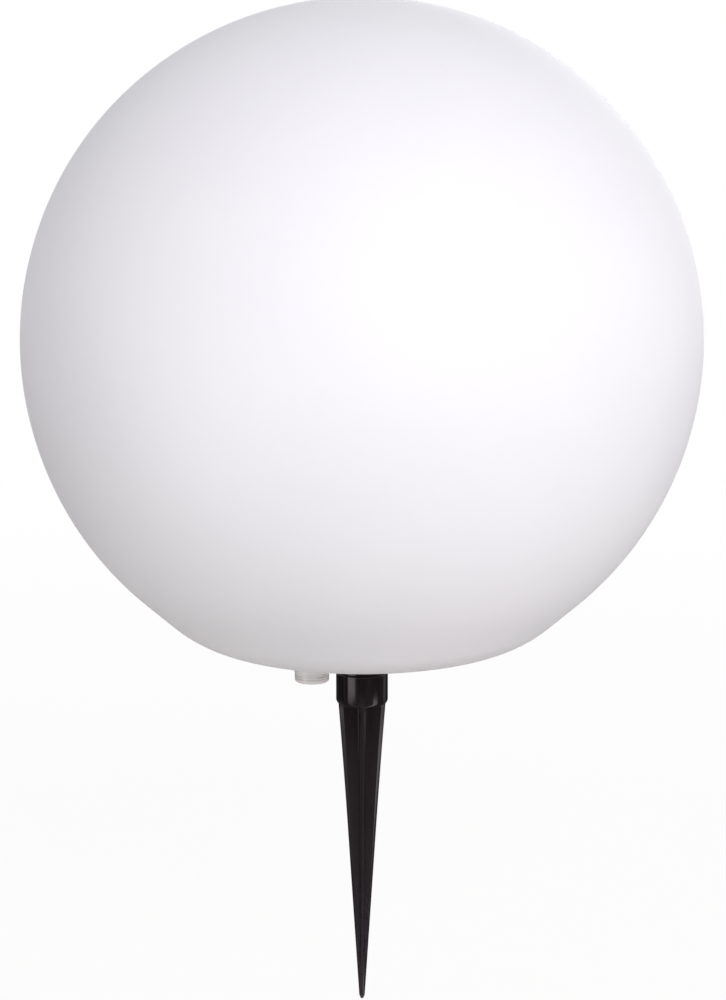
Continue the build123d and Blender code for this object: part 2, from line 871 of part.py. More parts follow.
def board_screws():
    return Compound(
        [
            small_screw(board_screw_depth + board_thickness, x, y, board_top).solid()
            for x, y in standoff_points()
        ]
    )


def connector(x, y, along_x, along_y):
    """Plug housing on the board, centred on x and y."""
    x_range = (x - along_x / 2, x + along_x / 2)
    y_range = (y - along_y / 2, y + along_y / 2)
    body = block(x_range, y_range, (board_top, board_top + connector_height))
    return chamfer(body.edges().group_by(Axis.Z)[-1], 0.5)


def board_connectors():
    """Four plug housings, one for each pair of leads."""
    row_y = board_width / 2 - connector_depth / 2
    row_x = board_length / 2 - connector_depth / 2
    width = 2 * (lead_gap + connector_wall)
    battery_width = 2 * (battery_lead_y + connector_wall)
    return Compound(
        [
            connector(switch_x + switch_lead_shift, -row_y, width, connector_depth).solid(),
            connector(light_lead_x, -row_y, width, connector_depth).solid(),
            connector(0, row_y, width, connector_depth).solid(),
            connector(row_x, 0, connector_depth, battery_width).solid(),
        ]
    )


def board_parts():
    """Coil, two capacitors, two chips and a row of small parts."""
    coil_x = -coil_radius - 1
    capacitor_x = 4 * capacitor_radius
    row_x = -board_length / 2 + 2 * board_hole_inset
    row_y = board_width / 2 - 2 * board_hole_inset
    parts = [
        ring(coil_radius, coil_radius / 3, board_top, board_top + coil_height, coil_x, -coil_radius / 2),
        rod(capacitor_radius, board_top, board_top + capacitor_height, capacitor_x, capacitor_radius + 1),
        rod(capacitor_radius, board_top, board_top + capacitor_height, capacitor_x, -capacitor_radius - 1),
        flat_part(0, coil_radius, driver_chip_size, driver_chip_size, chip_body_height),
        flat_part(3.5 * coil_x + 3, 0, charge_chip_size, charge_chip_size, chip_body_height),
    ]
    for step in range(small_part_count):
        x = row_x + small_part_pitch * step
        parts.append(flat_part(x, row_y, small_part_length, small_part_width, small_part_height))
    return Compound([part.solid() for part in parts])


def flat_part(x, y, length, width, height):
    """Flat part on the control board, centred on x and y."""
    x_range = (x - length / 2, x + length / 2)
    y_range = (y - width / 2, y + width / 2)
    return block(x_range, y_range, (board_top, board_top + height))


# ---------------------------------------------------------------- battery


def battery_tray():
    """Cradle for two cells, on two posts of the base plate."""
    x_range = (-tray_half_length, tray_half_length)
    tray = block(x_range, (-tray_half_width, tray_half_width), (tray_z, tray_top))
    tray = fillet(tray.edges().filter_by(Axis.Z), tray_corner)
    end = tray_half_length + tray_ear
    ear_y = (-tray_ear_width / 2, tray_ear_width / 2)
    tray += block((-end, end), ear_y, (tray_z, tray_z + tray_ear_thickness))
    for x, y in clamp_screw_points():
        half = clamp_width / 2
        outer = tray_half_width + clamp_foot
        y_range = sorted((math.copysign(tray_half_width - 1, y), math.copysign(outer, y)))
        tray += block((x - half, x + half), y_range, (tray_z, tray_top))
    room = cell_length / 2 + tray_end_gap
    for y in (-cell_y, cell_y):
        tray -= cross_rod(cradle_radius, (-room, room), y, cell_z)
    for side in (-1, 1):
        x_range = sorted((side * (cell_length / 2 - play), side * room))
        y_range = (-cell_y - tab_width / 2 - play, cell_y + tab_width / 2 + play)
        tray -= block(x_range, y_range, (cell_z - tab_height / 2 - play, tray_top + 1))
    for x in (-ear_x, ear_x):
        tray -= rod(small_screw_radius + hole_gap, tray_z - 1, tray_top, x, 0)
    for x, y in clamp_screw_points():
        tray -= rod(small_screw_radius + thread_gap, tray_top - clamp_screw_depth - 1, tray_top + 1, x, y)
    for y in (-battery_lead_y, battery_lead_y):
        tray -= rod(lead_radius + hole_gap, tray_z - 1, cell_z, battery_lead_x(), y)
    return tray


def battery_lead_x():
    """Where the battery's leads run, close outside the cells' end tabs."""
    return cell_length / 2 + tab_thickness + lead_radius + thread_gap


def tray_screws():
    seat = tray_z + tray_ear_thickness
    return Compound(
        [
            small_screw(tray_screw_depth + tray_ear_thickness, x, 0, seat).solid()
            for x in (-ear_x, ear_x)
        ]
    )


def battery_cells():
    """Two cells side by side, turned end for end."""
    cells = []
    for y, side in ((-cell_y, -1), (cell_y, 1)):
        half = cell_length / 2
        body = cross_rod(cell_radius, (-half, half), y, cell_z)
        body = fillet(body.edges().filter_by(GeomType.CIRCLE), 0.8)
        neck = sorted((side * (half - 1.6), side * (half - 1.0)))
        groove = cross_rod(cell_radius + 1, neck, y, cell_z) - cross_rod(cell_radius - 0.4, neck, y, cell_z)
        cells.append((body - groove).solid())
    return Compound(cells)


def cell_tabs():
    """Metal strips on the cells' ends: one that links them and two that the leads leave from."""
    half = cell_length / 2
    low = cell_z - tab_height / 2
    high = cell_z + tab_height / 2
    outer = cell_y + tab_width / 2
    tabs = [block((-half - tab_thickness, -half), (-outer, outer), (low, high))]
    for side in (-1, 1):
        y_range = sorted((side * (battery_lead_y - 2.0), side * outer))
        tabs.append(block((half, half + tab_thickness), y_range, (low, high)))
    return Compound([tab.solid() for tab in tabs])


def battery_clamps():
    """Two bridges over the cells."""
    clamps = []
    outer = cradle_radius + clamp_wall
    reach = tray_half_width + clamp_foot
    for x in (-clamp_x, clamp_x):
        span = (x - clamp_width / 2, x + clamp_width / 2)
        bridge = cross_rod(outer, span, -cell_y, cell_z) + cross_rod(outer, span, cell_y, cell_z)
        bridge -= block((span[0] - 1, span[1] + 1), (-2 * reach, 2 * reach), (tray_z - outer, tray_top))
        for side in (-1, 1):
            y_range = sorted((side * (cell_y + cradle_radius), side * reach))
            bridge += block(span, y_range, (tray_top, tray_top + clamp_foot_thickness))
        wide = (span[0] - 1, span[1] + 1)
        for y in (-cell_y, cell_y):
            bridge -= cross_rod(cradle_radius, wide, y, cell_z)
        for hole_x, y in clamp_screw_points():
            bridge -= rod(small_screw_radius + hole_gap, tray_top - 1, cell_z + outer, hole_x, y)
        clamps.append(bridge.solid())
    return Compound(clamps)


def clamp_screws():
    seat = tray_top + clamp_foot_thickness
    return Compound(
        [
            small_screw(clamp_screw_depth + clamp_foot_thickness, x, y, seat).solid()
            for x, y in clamp_screw_points()
        ]
    )


# ---------------------------------------------------------------- light source and lens


def heat_spreader():
    """Aluminium disc on the can's roof."""
    disc = rod(spreader_radius, housing_top, spreader_top)
    disc = chamfer(disc.edges().group_by(Axis.Z)[-1], 0.5)
    for x, y in board_screw_points():
        disc -= rod(small_screw_radius + hole_gap, housing_top - 1, spreader_top + 1, x, y)
    return disc - lead_hole(housing_top - 1, spreader_top + 1)


def light_board():
    """White board that the light chips stand on."""
    board = rod(light_board_radius, spreader_top, light_board_top)
    for x, y in board_screw_points():
        board -= rod(small_screw_radius + hole_gap, spreader_top - 1, light_board_top + 1, x, y)
    return board


def light_chips():
    """Square light chips on two circles, each with a low round lens."""
    half = chip_size / 2
    top = light_board_top + chip_height
    points = on_circle(outer_chip_circle, outer_chip_count, 180 / outer_chip_count)
    points += on_circle(inner_chip_circle, inner_chip_count, 90 / inner_chip_count)
    chips = []
    for x, y in points:
        body = block((x - half, x + half), (y - half, y + half), (light_board_top, top))
        lens = rod(chip_lens_radius, top - chip_height / 2, top + chip_lens_height, x, y)
        chips.append((body + lens).solid())
    return Compound(chips)


def light_board_screws():
    return Compound(
        [
            small_screw(board_screw_length, x, y, light_board_top).solid()
            for x, y in board_screw_points()
        ]
    )


def lens_dome():
    """Clear dome with a flat flange."""
    base = rim_inner
    dome_radius = (base**2 + lens_height**2) / (2 * lens_height)
    centre = lens_flange_top + lens_height - dome_radius
    inner_radius = dome_radius - lens_wall
    opening = math.sqrt(inner_radius**2 - (lens_flange_top - centre) ** 2)
    above = rod(housing_radius, lens_flange_top, lens_flange_top + 2 * lens_height)
    dome = (Pos(0, 0, centre) * Sphere(dome_radius) & above) + rod(
        housing_radius - housing_round, rim_top, lens_flange_top
    )
    dome -= Pos(0, 0, centre) * Sphere(inner_radius) & above
    dome -= rod(opening, rim_top - 1, lens_flange_top)
    for x, y in lens_screw_points():
        dome -= rod(screw_radius + hole_gap, rim_top - 1, lens_flange_top + 1, x, y)
    return dome


def lens_seal():
    """Sealing ring in the groove inside the can's rim."""
    return ring(rim_inner, rim_inner - lens_groove, housing_top, rim_top)


def lens_ring():
    """Ring that holds the lens down."""
    clamp = ring(housing_radius, rim_inner + play, lens_flange_top, ring_top)
    clamp = chamfer(clamp.edges().group_by(Axis.Z)[-1], 0.6)
    for x, y in lens_screw_points():
        clamp -= rod(screw_radius + hole_gap, lens_flange_top - 1, ring_top + 1, x, y)
        clamp -= rod(head_radius + hole_gap, ring_top - lens_head_sink, ring_top + 1, x, y)
    return clamp


def lens_screws():
    seat = ring_top - lens_head_sink
    return Compound(
        [
            screw(screw_radius, lens_screw_length, head_radius, head_height, x, y, seat, up=False).solid()
            for x, y in lens_screw_points()
        ]
    )


# ---------------------------------------------------------------- leads


def light_leads():
    """Pair of leads from the board up through the roof to the light board."""
    leads = []
    for side in (-1, 1):
        x = light_lead_x + side * lead_gap
        points = [(x, -board_width / 2, lead_z), (x, -lead_side_y, lead_z), (x, -lead_side_y, spreader_top)]
        leads.append(lead(points, lead_bend).solid())
    return Compound(leads)


def battery_leads():
    """Pair of leads from the cells' tabs down through the tray to the board."""
    leads = []
    for side in (-1, 1):
        y = side * battery_lead_y
        points = [
            (battery_lead_x(), y, cell_z - 1.0),
            (battery_lead_x(), y, lead_z),
            (board_length / 2, y, lead_z),
        ]
        leads.append(lead(points, battery_lead_bend).solid())
    return Compound(leads)


def side_leads(x, end_x, y, top, side):
    """Pair of leads from terminals over to the tray's side, then down and in to a connector."""
    leads = []
    for gap in (-lead_gap, lead_gap):
        start_x = x + gap + math.copysign(terminal_spread, gap)
        points = [
            (start_x, y, top),
            (start_x, y, top + lead_rise),
            (start_x, side * lead_side_y, top + lead_rise),
            (end_x + gap, side * lead_side_y, lead_z),
            (end_x + gap, side * board_width / 2, lead_z),
        ]
        leads.append(lead(points, lead_bend).solid())
    return Compound(leads)


def switch_leads():
    """Pair of leads from the switch to the board."""
    return side_leads(switch_x, switch_x + switch_lead_shift, switch_y, block_top + terminal_length, -1)


def charge_leads():
    """Pair of leads from the charging socket to the board."""
    return side_leads(0, 0, charge_y, socket_tail_top + terminal_length, 1)


# ---------------------------------------------------------------- write the pieces

pieces = {
    "ground_spike": ground_spike,
    "spike_boss": spike_boss,
    "boss_seal": boss_seal,
    "boss_screw": boss_screw,
    "globe_shell": globe_shell,
    "thread_inserts": thread_inserts,
    "base_plate": base_plate,
    "globe_gasket": globe_gasket,
    "screw_retainers": screw_retainers,
    "globe_screws": globe_screws,
    "switch_cap": switch_cap,
    "switch_plunger": switch_plunger,
    "switch_spring": switch_spring,
    "switch_barrel": switch_barrel,
    "switch_seal": switch_seal,
    "switch_nut": switch_nut,
    "switch_block": switch_block,
    "switch_terminals": switch_terminals,
    "charge_door": charge_door,
    "door_pin": door_pin,
    "door_pad": door_pad,
    "charge_socket": charge_socket,
    "charge_pin": charge_pin,
    "charge_seal": charge_seal,
    "charge_nut": charge_nut,
    "charge_terminals": charge_terminals,
    "unit_housing": unit_housing,
    "housing_seal": housing_seal,
    "housing_screws": housing_screws,
    "control_board": control_board,
    "board_screws": board_screws,
    "board_connectors": board_connectors,
    "board_parts": board_parts,
    "battery_tray": battery_tray,
    "tray_screws": tray_screws,
    "battery_cells": battery_cells,
    "cell_tabs": cell_tabs,
    "battery_clamps": battery_clamps,
    "clamp_screws": clamp_screws,
    "heat_spreader": heat_spreader,
    "light_board": light_board,
    "light_chips": light_chips,
    "light_board_screws": light_board_screws,
    "lens_dome": lens_dome,
    "lens_seal": lens_seal,
    "lens_ring": lens_ring,
    "lens_screws": lens_screws,
    "light_leads": light_leads,
    "battery_leads": battery_leads,
    "switch_leads": switch_leads,
    "charge_leads": charge_leads,
}

os.makedirs("parts", exist_ok=True)
for name, make in pieces.items():
    export_step(make(), f"parts/{name}.step")
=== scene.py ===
"""Garden globe light: finishes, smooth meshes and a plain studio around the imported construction."""

import json
import logging
import math
from collections.abc import Iterable, Sequence
from dataclasses import dataclass, field
from enum import Enum

import bmesh
import bpy
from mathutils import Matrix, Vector, noise

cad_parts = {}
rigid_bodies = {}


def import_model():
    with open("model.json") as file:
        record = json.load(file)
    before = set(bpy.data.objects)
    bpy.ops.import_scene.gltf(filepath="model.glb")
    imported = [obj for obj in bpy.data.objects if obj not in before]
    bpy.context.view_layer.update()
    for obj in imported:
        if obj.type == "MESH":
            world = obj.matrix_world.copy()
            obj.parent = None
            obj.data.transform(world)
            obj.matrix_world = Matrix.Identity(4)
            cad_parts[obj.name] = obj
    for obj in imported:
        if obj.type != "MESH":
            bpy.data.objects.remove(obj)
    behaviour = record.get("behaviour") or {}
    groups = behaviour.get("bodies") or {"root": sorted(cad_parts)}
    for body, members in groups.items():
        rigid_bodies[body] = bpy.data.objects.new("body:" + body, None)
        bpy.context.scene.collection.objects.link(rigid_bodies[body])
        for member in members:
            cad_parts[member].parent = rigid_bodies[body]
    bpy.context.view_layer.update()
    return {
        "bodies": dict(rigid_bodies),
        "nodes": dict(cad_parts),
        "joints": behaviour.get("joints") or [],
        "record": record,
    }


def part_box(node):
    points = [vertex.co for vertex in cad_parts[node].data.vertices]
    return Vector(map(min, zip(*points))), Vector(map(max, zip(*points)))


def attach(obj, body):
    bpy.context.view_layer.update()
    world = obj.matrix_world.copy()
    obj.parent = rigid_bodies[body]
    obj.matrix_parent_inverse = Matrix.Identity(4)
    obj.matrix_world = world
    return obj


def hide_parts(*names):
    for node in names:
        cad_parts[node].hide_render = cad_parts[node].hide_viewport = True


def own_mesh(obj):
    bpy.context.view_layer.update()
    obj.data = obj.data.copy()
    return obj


LOG = logging.getLogger("garden_globe_light")
MM = 0.001
# Most of a noise texture's values lie between the first two, and its middle between the others.
CLOUD_LOW = 0.3
CLOUD_HIGH = 0.7
FINE_LOW = 0.35
FINE_HIGH = 0.65
# A mix node's sockets share their names, so they are told apart by number.
MIX_SHARE = 0
FLOAT_A = 2
FLOAT_B = 3
COLOUR_A = 6
COLOUR_B = 7
MIXED_FLOAT = 0
MIXED_COLOUR = 2
# Vertices closer than this, in metres, are one.
MERGE_DISTANCE = 1e-7
# A corner whose sides make more than twice this angle, in degrees, is left as it is.
STRAIGHT_HALF_ANGLE = 89.5

Tree = bpy.types.NodeTree
Node = bpy.types.Node
Socket = bpy.types.NodeSocket
Material = bpy.types.Material
Object = bpy.types.Object
Settings = dict[str | int, object]
Point = tuple[float, float]
Colour = tuple[float, float, float, float]
Faces = list[tuple[int, ...]]


# ---------------------------------------------------------------- small tools


def linear(hex_colour: str) -> Colour:
    """Turn an sRGB hex colour into linear light.

    Args:
        hex_colour: six hex digits after a hash sign.

    Returns:
        Red, green, blue and an alpha of 1, as a shader socket takes them.
    """
    shares = [int(hex_colour[i : i + 2], 16) / 255 for i in (1, 3, 5)]
    red, green, blue = (c / 12.92 if c <= 0.04045 else ((c + 0.055) / 1.055) ** 2.4 for c in shares)
    return red, green, blue, 1.0


def per_metre(size_mm: float) -> float:
    """Texture scale at which one feature is that many millimetres wide."""
    return 1 / (size_mm * MM)


def waves_per_metre(size_mm: float) -> float:
    """Scale of a wave texture, which repeats about three times in each unit, for waves of that width."""
    return per_metre(size_mm) / math.pi


def grains_of(size_mm: float) -> Settings:
    """Settings of a noise texture whose even, cloudy grains are that many millimetres wide."""
    return {"Scale": per_metre(size_mm), "Detail": 3.0, "Roughness": 0.55}


def add_node(
    tree: Tree,
    kind: str,
    settings: Settings | None = None,
    links: dict[str | int, Socket] | None = None,
    stops: Sequence[tuple[float, str | Colour]] = (),
) -> Node:
    """Add a node with its settings and links.

    Args:
        tree: node tree that gets the node.
        kind: Blender's name for the node.
        settings: the node's properties, or else values of its inputs by name or number.
        links: output sockets that feed its inputs, by name or number.
        stops: places and colours of its colour ramp, in order, each colour sRGB hex or linear.

    Returns:
        The new node.
    """
    node = tree.nodes.new(kind)
    for key, value in (settings or {}).items():
        if isinstance(key, str) and hasattr(node, key):
            setattr(node, key, value)
        else:
            node.inputs[key].default_value = value
    for key, socket in (links or {}).items():
        tree.links.new(socket, node.inputs[key])
    if stops:
        elements = node.color_ramp.elements
        elements.remove(elements[-1])
        for number, (place, colour) in enumerate(stops):
            element = elements.new(place) if number else elements[0]
            element.position = place
            element.color = linear(colour) if isinstance(colour, str) else colour
    return node


def arc(centre: Point, radius: float, start: float, end: float, steps: int) -> list[Point]:
    """Points of a circle's arc.

    Args:
        centre: the circle's centre.
        radius: its radius.
        start: angle of the first point, in degrees.
        end: angle of the last point, in degrees.
        steps: how many straight pieces the arc has.

    Returns:
        The points, both ends among them.
    """
    turns = [math.radians(start + (end - start) * i / steps) for i in range(steps + 1)]
    return [(centre[0] + radius * math.cos(t), centre[1] + radius * math.sin(t)) for t in turns]


def rounded(corners: list[tuple[float, float, float]], steps: int) -> list[Point]:
    """Closed outline with each corner rounded by a tangent arc.

    Args:
        corners: x, y and rounding radius of each corner; a radius of 0 leaves it sharp.
        steps: how many straight pieces each arc has.

    Returns:
        The outline's points.
    """
    outline: list[Point] = []
    for i, (x, y, radius) in enumerate(corners):
        corner = Vector((x, y))
        back = (Vector(corners[i - 1][:2]) - corner).normalized()
        ahead = (Vector(corners[(i + 1) % len(corners)][:2]) - corner).normalized()
        half = back.angle(ahead) / 2
        if radius <= 0 or half > math.radians(STRAIGHT_HALF_ANGLE):
            outline.append((x, y))
            continue
        middle = corner + (back + ahead).normalized() * radius / math.sin(half)
        first = corner + back * radius / math.tan(half) - middle
        last = corner + ahead * radius / math.tan(half) - middle
        turn = first.angle_signed(last)
        for step in range(steps + 1):
            angle = -turn * step / steps
            outline.append(
                (
                    middle.x + first.x * math.cos(angle) - first.y * math.sin(angle),
                    middle.y + first.x * math.sin(angle) + first.y * math.cos(angle),
                )
            )
    return outline


def mesh_object(name: str, points: list[Vector], faces: Faces, sharp_deg: float) -> Object:
    """Object from points in millimetres, smooth but for its sharp edges.

    Args:
        name: the object's name.
        points: its vertices, in millimetres.
        faces: its faces, as vertex numbers.
        sharp_deg: an edge that turns by more than this stays sharp.

    Returns:
        The object, linked into the scene.
    """
    mesh = bpy.data.meshes.new(name)
    mesh.from_pydata([point * MM for point in points], [], faces)
    build = bmesh.new()
    build.from_mesh(mesh)
    bmesh.ops.remove_doubles(build, verts=build.verts, dist=MERGE_DISTANCE)
    bmesh.ops.recalc_face_normals(build, faces=build.faces)
    build.to_mesh(mesh)
    build.free()
    mesh.shade_smooth()
    mesh.set_sharp_from_angle(angle=math.radians(sharp_deg))
    shown = bpy.data.objects.new(name, mesh)
    bpy.context.scene.collection.objects.link(shown)
    return shown


def skin(rings: list[list[Vector]], closed: bool) -> tuple[list[Vector], Faces]:
    """Faces between rings that have the same number of points.

    Args:
        rings: the rings, in order.
        closed: whether the last ring joins the first; otherwise both ends are capped.

    Returns:
        Points and faces.
    """
    count = len(rings[0])
    points = [point for ring in rings for point in ring]
    faces: Faces = []
    for row in range(len(rings) if closed else len(rings) - 1):
        low = row * count
        high = (row + 1) % len(rings) * count
        for i in range(count):
            j = (i + 1) % count
            faces.append((low + i, low + j, high + j, high + i))
    if not closed:
        faces.append(tuple(reversed(range(count))))
        faces.append(tuple(range(len(points) - count, len(points))))
    return points, faces


def revolve(outline: list[Point], segments: int) -> tuple[list[Vector], Faces]:
    """Solid of revolution about the light's axis.

    Args:
        outline: closed outline as radius and height.
        segments: how many steps the turn has.

    Returns:
        Points and faces.
    """
    rings = []
    for step in range(segments):
        turn = 2 * math.pi * step / segments
        rings.append([Vector((r * math.cos(turn), r * math.sin(turn), z)) for r, z in outline])
    return skin(rings, closed=True)


class Work(Enum):
    """What a tool mesh does to its target."""

    ADD = "UNION"
    CUT = "DIFFERENCE"


def combine(target: Object, tool: Object, work: Work) -> None:
    """Join a tool mesh into a target, or cut it out, and delete the tool.

    Args:
        target: object that is changed.
        tool: object that is added or taken away.
        work: which of the two.
    """
    modifier = target.modifiers.new("combine", "BOOLEAN")
    modifier.operation = work.value
    modifier.solver = "EXACT"
    modifier.object = tool
    graph = bpy.context.evaluated_depsgraph_get()
    graph.update()
    result = bpy.data.meshes.new_from_object(target.evaluated_get(graph))
    target.modifiers.clear()
    target.data = result
    bpy.data.objects.remove(tool)


# ---------------------------------------------------------------- finishes


@dataclass(frozen=True)
class Finish:
    """A surface: its name, shader values that are the same all over, and a pattern.

    Attributes:
        name: the material's name.
        shader: values of the shader's own sockets.
    """

    name: str
    shader: Settings = field(default_factory=dict)

    def build(self) -> Material:
        """Make the material.

        Returns:
            The material, with its pattern in place.
        """
        material = bpy.data.materials.new(self.name)
        material.use_nodes = True
        tree = material.node_tree
        tree.nodes.clear()
        surface = add_node(tree, "ShaderNodeBsdfPrincipled", self.shader)
        add_node(tree, "ShaderNodeOutputMaterial", links={"Surface": surface.outputs["BSDF"]})
        place = add_node(tree, "ShaderNodeTexCoord").outputs["Object"]
        self.pattern(tree, surface, place)
        return material

    def pattern(self, tree: Tree, surface: Node, place: Socket) -> None:
        """Link what varies over the surface.

        Args:
            tree: the material's node tree.
            surface: its shader.
            place: place in the light's own frame, in metres.
        """
        raise NotImplementedError


@dataclass(frozen=True)
class Moulding(Finish):
    """Plastic or rubber moulded in a finely eroded steel tool: a soft sheen over an even grain.

    Attributes:
        dark: colour where the clouds are darkest.
        light: colour where they are lightest.
        grain_mm: width of the tool's grain. Real grain is near 0.1 mm, too fine to show, so this is coarser.
        grain_depth_mm: how deep it is.
        cloud_mm: width of the faint clouds where the melt cooled unevenly.
        smooth: lowest roughness.
        rough: highest roughness.
    """

    dark: str = "#808080"
    light: str = "#8A8A8A"
    grain_mm: float = 0.6
    grain_depth_mm: float = 0.01
    cloud_mm: float = 12.0
    smooth: float = 0.35
    rough: float = 0.45

    def pattern(self, tree: Tree, surface: Node, place: Socket) -> None:
        """Clouded colour and sheen over a fine grain.

        Args:
            tree: the material's node tree.
            surface: its shader.
            place: place in the light's own frame, in metres.
        """
        self.clouds(tree, surface, place)
        self.grain(tree, surface, place)

    def clouds(self, tree: Tree, surface: Node, place: Socket) -> Socket:
        """Let colour and sheen drift together.

        Args:
            tree: the material's node tree.
            surface: its shader.
            place: place in the light's own frame, in metres.

        Returns:
            The clouds, as a value from 0 to 1.
        """
        noises = add_node(tree, "ShaderNodeTexNoise", grains_of(self.cloud_mm), {"Vector": place})
        clouds = noises.outputs["Fac"]
        shades = [(CLOUD_LOW, self.dark), (CLOUD_HIGH, self.light)]
        colour = add_node(tree, "ShaderNodeValToRGB", links={"Fac": clouds}, stops=shades)
        tree.links.new(colour.outputs["Color"], surface.inputs["Base Color"])
        span = {"From Min": CLOUD_LOW, "From Max": CLOUD_HIGH, "To Min": self.smooth, "To Max": self.rough}
        sheen = add_node(tree, "ShaderNodeMapRange", span, {"Value": clouds})
        tree.links.new(sheen.outputs["Result"], surface.inputs["Roughness"])
        return clouds

    def grain(self, tree: Tree, surface: Node, place: Socket, under: Socket | None = None) -> None:
        """Print the tool's grain into the surface.

        Args:
            tree: the material's node tree.
            surface: its shader.
            place: place in the light's own frame, in metres.
            under: normal of a coarser relief that the grain lies on.
        """
        noises = add_node(tree, "ShaderNodeTexNoise", grains_of(self.grain_mm), {"Vector": place})
        links = {"Height": noises.outputs["Fac"]}
        if under is not None:
            links["Normal"] = under
        bump = add_node(tree, "ShaderNodeBump", {"Distance": self.grain_depth_mm * MM}, links)
        tree.links.new(bump.outputs["Normal"], surface.inputs["Normal"])


@dataclass(frozen=True)
class GrooveShadedPlastic(Moulding):
    """Moulded plastic with painted shade: grey bands in its grooves, stronger in patches.

    Attributes:
        groove_shade: colour of the painted shade in the grooves.
        low_mm: height of the piece's lower end.
        grooves_mm: height of each groove's middle above that end, in order.
        groove_half_mm: half a groove's width, with the painted shade beside it.
        span_mm: height of the piece that the grooves are marked on.
        patch_mm: width of a patch where the painted shade is stronger.
        faintest: share of painted shade between the patches.
        strongest: share of painted shade in them.
    """

    groove_shade: str = "#A29E9D"
    low_mm: float = 0.0
    grooves_mm: tuple[float, ...] = (1.925, 3.125, 4.15)
    groove_half_mm: float = 0.42
    span_mm: float = 6.0
    patch_mm: float = 4.0
    faintest: float = 0.1
    strongest: float = 0.9

    def pattern(self, tree: Tree, surface: Node, place: Socket) -> None:
        """Painted shade in the grooves, over the plastic's own grain.

        Args:
            tree: the material's node tree.
            surface: its shader.
            place: place in the light's own frame, in metres.
        """
        super().pattern(tree, surface, place)
        height = add_node(tree, "ShaderNodeSeparateXYZ", links={"Vector": place}).outputs["Z"]
        span = {"From Min": self.low_mm * MM, "From Max": (self.low_mm + self.span_mm) * MM}
        share = add_node(tree, "ShaderNodeMapRange", span, {"Value": height}).outputs["Result"]
        # Painted shade: a grey band at each groove's height.
        stops = []
        for middle in self.grooves_mm:
            for side, shade_stop in ((-1, "#000000"), (0, "#FFFFFF"), (1, "#000000")):
                stops.append(((middle + side * self.groove_half_mm) / self.span_mm, shade_stop))
        grooves = add_node(tree, "ShaderNodeValToRGB", links={"Fac": share}, stops=stops).outputs["Color"]
        blots = add_node(tree, "ShaderNodeTexNoise", grains_of(self.patch_mm), {"Vector": place})
        span = {"From Min": FINE_LOW, "From Max": FINE_HIGH}
        span |= {"To Min": self.faintest, "To Max": self.strongest}
        patches = add_node(tree, "ShaderNodeMapRange", span, {"Value": blots.outputs["Fac"]})
        both = {0: grooves, 1: patches.outputs["Result"]}
        # Painted shade: the bands, stronger in patches, darken the clean colour.
        shade_share = add_node(tree, "ShaderNodeMath", {"operation": "MULTIPLY"}, both).outputs[0]
        clean = surface.inputs["Base Color"].links[0].from_socket
        over = {"data_type": "RGBA", COLOUR_B: linear(self.groove_shade)}
        mixed = add_node(tree, "ShaderNodeMix", over, {MIX_SHARE: shade_share, COLOUR_A: clean})
        tree.links.new(mixed.outputs[MIXED_COLOUR], surface.inputs["Base Color"])


@dataclass(frozen=True)
class RotomouldedPolyethylene(Moulding):
    """Polyethylene tumbled in a hot mould: milky, silky, and softly uneven where the wall thickness drifts.

    Attributes:
        drift_mm: width of the slow waves in the skin.
        drift_depth_mm: how deep they are.
    """

    drift_mm: float = 60.0
    drift_depth_mm: float = 0.03

    def pattern(self, tree: Tree, surface: Node, place: Socket) -> None:
        """Clouds, slow waves and a fine orange peel.

        Args:
            tree: the material's node tree.
            surface: its shader.
            place: place in the light's own frame, in metres.
        """
        self.clouds(tree, surface, place)
        slow = {"Scale": per_metre(self.drift_mm), "Detail": 0.0}
        waves = add_node(tree, "ShaderNodeTexNoise", slow, {"Vector": place}).outputs["Fac"]
        drift = add_node(tree, "ShaderNodeBump", {"Distance": self.drift_depth_mm * MM}, {"Height": waves})
        self.grain(tree, surface, place, drift.outputs["Normal"])


